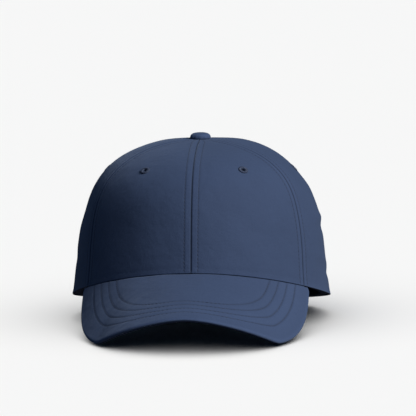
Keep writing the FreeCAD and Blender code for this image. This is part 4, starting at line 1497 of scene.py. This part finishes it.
def arc_frame(phi, radius, height):
    """Path, outward and up vectors along an upright arc round the crown's axis, as the cap stands."""
    turn = np.radians(phi)
    out = np.stack((np.sin(turn), -np.cos(turn), 0 * turn), -1)
    path = stand(out * radius + straight_up * height)
    return path, turn_back(out), np.broadcast_to(turn_back(straight_up), path.shape)


def strap_row(line, normal, pitch):
    """A row of the strap's finer, flatter stitches."""
    return stitch_row(line, normal, pitch=pitch, radius=0.2 * mm, lift=0.06 * mm)


strap_rows = (-6.8 * mm, 6.8 * mm)
ends = np.array([0, 0.05, 0.15, 0.3])
middle = np.linspace(strap_from + 0.5, strap_to - 0.5, 150)
strap_phi = np.concatenate((strap_from + ends, middle, strap_to - ends[::-1]))
path, outward, up = arc_frame(strap_phi, strap_mid, strap_level)
section = strip_section(strap_width, strap_thickness * 0.94, strap_rows)
strap = carried("strap_cloth", path, outward, up, section)
finish(strap, strap_cloth)
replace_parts(strap, "adjuster_strap")
rows = []
for row in strap_rows:
    for face in (1, -1):
        line = path + up * row + outward * face * (strap_thickness / 2 - thread_sunk)
        rows.append(strap_row(line[4:-4], outward[4:-4] * face, 2.6 * mm))
hem_at, hem_z = 2.2, np.linspace(*strap_rows, 30)[:, None]
spot, out_at, up_at = arc_frame(np.array([strap_from + hem_at]), strap_mid, strap_level)
for face in (1, -1):
    line = spot + up_at * hem_z + out_at * face * (strap_thickness / 2 - 0.05 * mm)
    rows.append(strap_row(line, np.broadcast_to(out_at * face, line.shape), 2.4 * mm))
strap_threads = finish(stitched("stitches_strap", rows), thread)
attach(strap, "strap")
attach(strap_threads, "strap")
strap_length = np.radians(strap_to - strap_from) * strap_mid
declared.append((strap, (strap_width * 2, strap_length), "folded", None))
print("strap", round(strap_length / mm), "mm long")

# %% Tab
tab_width, tab_from, clasp_round = 16 * mm, 145.0, 166.0
bar_station, pin_reach = 7.0 * mm, 2.6 * mm
tab_sheet, tab_loop = 0.40 * mm, 1.16 * mm
bar_turn = np.degrees(bar_station / strap_mid)


def tab_path():
    """In plan: out along the panel, round the clasp's bar, and back along itself."""
    bar = np.array([bar_station, strap_mid + pin_reach])
    outer_phi = np.radians(np.linspace(clasp_round - tab_from, bar_turn + 1.2, 40))
    inner_phi = outer_phi[::-1]
    along_panel = tab_outer - tab_sheet / 2
    at_bar = strap_mid + pin_reach + tab_loop - 0.1 * mm
    near_bar = smooth(-outer_phi, -np.radians(9), -np.radians(bar_turn + 1.0))
    outer_radius = along_panel + (at_bar - along_panel) * near_bar
    inner_radius = np.full(len(inner_phi), tab_inner + tab_sheet / 2)
    first = np.stack((np.sin(outer_phi) * outer_radius, np.cos(outer_phi) * outer_radius), -1)
    last = np.stack((np.sin(inner_phi) * inner_radius, np.cos(inner_phi) * inner_radius), -1)
    turn = np.linspace(np.pi / 2, -np.pi / 2, 18)[1:-1]
    round_bar = bar + tab_loop * np.stack((-np.cos(turn), np.sin(turn)), -1)
    return np.concatenate((first, round_bar, last))


plan = tab_path()
turned = np.radians(clasp_round + 180)
flat_x = plan[:, 0] * np.cos(turned) - plan[:, 1] * np.sin(turned)
flat_y = plan[:, 0] * np.sin(turned) + plan[:, 1] * np.cos(turned)
upright = np.stack((flat_x, flat_y, np.full(len(plan), strap_level)), -1)
way = np.gradient(upright, axis=0)
way /= np.linalg.norm(way, axis=1, keepdims=True)
tab_out = turn_back(np.cross(way, straight_up))
tab_up = np.broadcast_to(turn_back(straight_up), tab_out.shape)
tab = carried("tab_cloth", stand(upright), tab_out, tab_up, strip_section(tab_width, tab_sheet))
finish(tab, strap_cloth)
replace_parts(tab, "strap_tab")
ride_cap(tab)
declared.append((tab, (tab_width, np.linalg.norm(np.diff(plan, axis=0), axis=1).sum()), "folded", None))
print("tab", round(declared[-1][1][1] / mm), "mm long before it is folded")

# %% [markdown]
# ## Metal and hidden parts
# The clasp is brass with a brown patina: bright where it is handled, dull in the hollows. Fine brushing runs
# through its roughness. The washer and rivet are plain pressed aluminium, and the brim's board is moulded.

# %% Metal materials
brushed, given, result = shader_group(
    "fine_brushing",
    {"Stretch": ("NodeSocketFloat", 40.0)},
    {"Lines": "NodeSocketFloat", "Blotch": "NodeSocketFloat"},
)
where = add(brushed, "ShaderNodeTexCoord").outputs["Object"]
scaled = add(brushed, "ShaderNodeVectorMath", {0: where, 1: (1.0, 1.0, 14.0)}, operation="MULTIPLY")
scaled = scaled.outputs[0]
stretch = given.outputs["Stretch"]
lines = add(brushed, "ShaderNodeTexNoise", {"Vector": scaled, "Scale": stretch, "Detail": 6.0}).outputs[0]
blotch = add(brushed, "ShaderNodeTexNoise", {"Vector": where, "Scale": 260.0, "Detail": 4.0}).outputs[0]
brushed.links.new(lines, result.inputs["Lines"])
brushed.links.new(blotch, result.inputs["Blotch"])


def metal_material(name, bright, dull, roughness):
    """Metal that is bright on its raised edges and dull in its hollows, with fine brushed lines."""
    made, tree, surface = new_material(name)
    marks = grouped(tree, brushed, Stretch=700.0)
    edge = add(tree, "ShaderNodeNewGeometry").outputs["Pointiness"]
    edge = maths(tree, "MULTIPLY", maths(tree, "SUBTRACT", edge, 0.5), 4.0)
    mask = maths(tree, "ADD", marks.outputs["Blotch"], edge)
    tree.links.new(ramp(tree, mask, (0.35, dull), (0.68, bright)), surface.inputs["Base Color"])
    surface.inputs["Metallic"].default_value = 1.0
    rough = maths(tree, "MULTIPLY_ADD", marks.outputs["Lines"], 0.25, roughness - 0.1)
    tree.links.new(rough, surface.inputs["Roughness"])
    bump = bumped(tree, marks.outputs["Lines"], 0.25, 0.03 * mm)
    tree.links.new(bump.outputs[0], surface.inputs["Normal"])
    return made


brass = metal_material("antique_brass", (0.62, 0.46, 0.20), (0.24, 0.16, 0.07), 0.38)
alloy = metal_material("pressed_aluminium", (0.78, 0.78, 0.79), (0.48, 0.48, 0.50), 0.42)
board_paint, tree, surface = new_material("brim_board")
grain = grouped(tree, cloudy, Amount=0.1, Scale=80.0)
tree.links.new(shaded(tree, (0.82, 0.82, 0.80), grain.outputs["Shade"]), surface.inputs["Base Color"])
tree.links.new(maths(tree, "MULTIPLY_ADD", grain.outputs["Grain"], 0.3, 0.35), surface.inputs["Roughness"])
board_bump = bumped(tree, grain.outputs["Grain"], 0.2, 0.05 * mm)
tree.links.new(board_bump.outputs[0], surface.inputs["Normal"])
kept_nodes = (
    (brass, ("clasp_frame", "clasp_lever", "clasp_pin")),
    (alloy, ("button_shell", "button_rivet", "button_washer")),
    (board_paint, ("brim_board",)),
)
for material, names in kept_nodes:
    for name in names:
        finish(frame["nodes"][name], material)
shown = sorted(o.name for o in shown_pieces() if "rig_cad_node" in o)
print("CAD nodes that show:", shown)


# %% Cloth areas
def cloth_area(piece):
    """Half of a thin shell's surface: the area of one side of the cloth."""
    areas = np.empty(len(piece.data.polygons), np.float32)
    piece.data.polygons.foreach_get("area", areas)
    return float(areas.sum()) / 2


def declare(piece, size):
    """Works out a piece's one-sided area, kept between 0.31 of its cut size and all of it; nothing uses it.
    """
    width, length = (float(s) for s in size)
    area = max(min(cloth_area(piece), width * length), 0.31 * width * length)


panel_cuts = {"front": (0.103, 0.150), "side": (0.106, 0.156), "back": (0.097, 0.156)}
for (place, side), piece in panels.items():
    declare(piece, panel_cuts[place])
declare(brim_top, (0.182, 0.105))
declare(brim_under, (0.182, 0.105))
declare(button, (0.021, 0.021))
for piece, size, held, rests_on in declared:
    declare(piece, size)
print("declared cloth pieces:", len(declared) + len(panels) + 3)

# %% [markdown]
# ## The floor
# A plain pale floor carries the contact shadows. It looks nearly white to the camera but gives little light
# back, so that the cap's shaded side stays deep, as it does between black flags in a studio.

# %% Floor
floor_size, floor_gap = 40.0, 0.2 * mm
corners = np.array([(-1, -1, 0), (1, -1, 0), (1, 1, 0), (-1, 1, 0)]) * floor_size
floor_middle = np.array([0, floor_size * 0.6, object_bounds()[0][2] - floor_gap])
floor = link_mesh("floor", corners + floor_middle, [np.array([[0, 1, 2, 3]])])
floor_paint, tree, surface = new_material("pale_floor")
surface.inputs["Base Color"].default_value = (0.9, 0.9, 0.9, 1)
surface.inputs["Roughness"].default_value = 0.9
surface.inputs["Specular IOR Level"].default_value = 0.0
dim = add(tree, "ShaderNodeBsdfDiffuse", {"Color": (0.05, 0.05, 0.055, 1)})
seen = add(tree, "ShaderNodeLightPath").outputs["Is Camera Ray"]
choice = add(tree, "ShaderNodeMixShader", {0: seen, 1: dim.outputs[0], 2: surface.outputs[0]})
out = next(n for n in tree.nodes if n.type == "OUTPUT_MATERIAL")
tree.links.new(choice.outputs[0], out.inputs[0])
floor.data.materials.append(floor_paint)
floor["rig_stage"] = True
for lamp, state in ((floor_light, "INCLUDE"), (key_light, "EXCLUDE")):
    lit_by = bpy.data.collections.new(f"{lamp.name}_receivers")
    lit_by.objects.link(floor)
    lit_by.collection_objects[0].light_linking.link_state = state
    lamp.light_linking.receiver_collection = lit_by
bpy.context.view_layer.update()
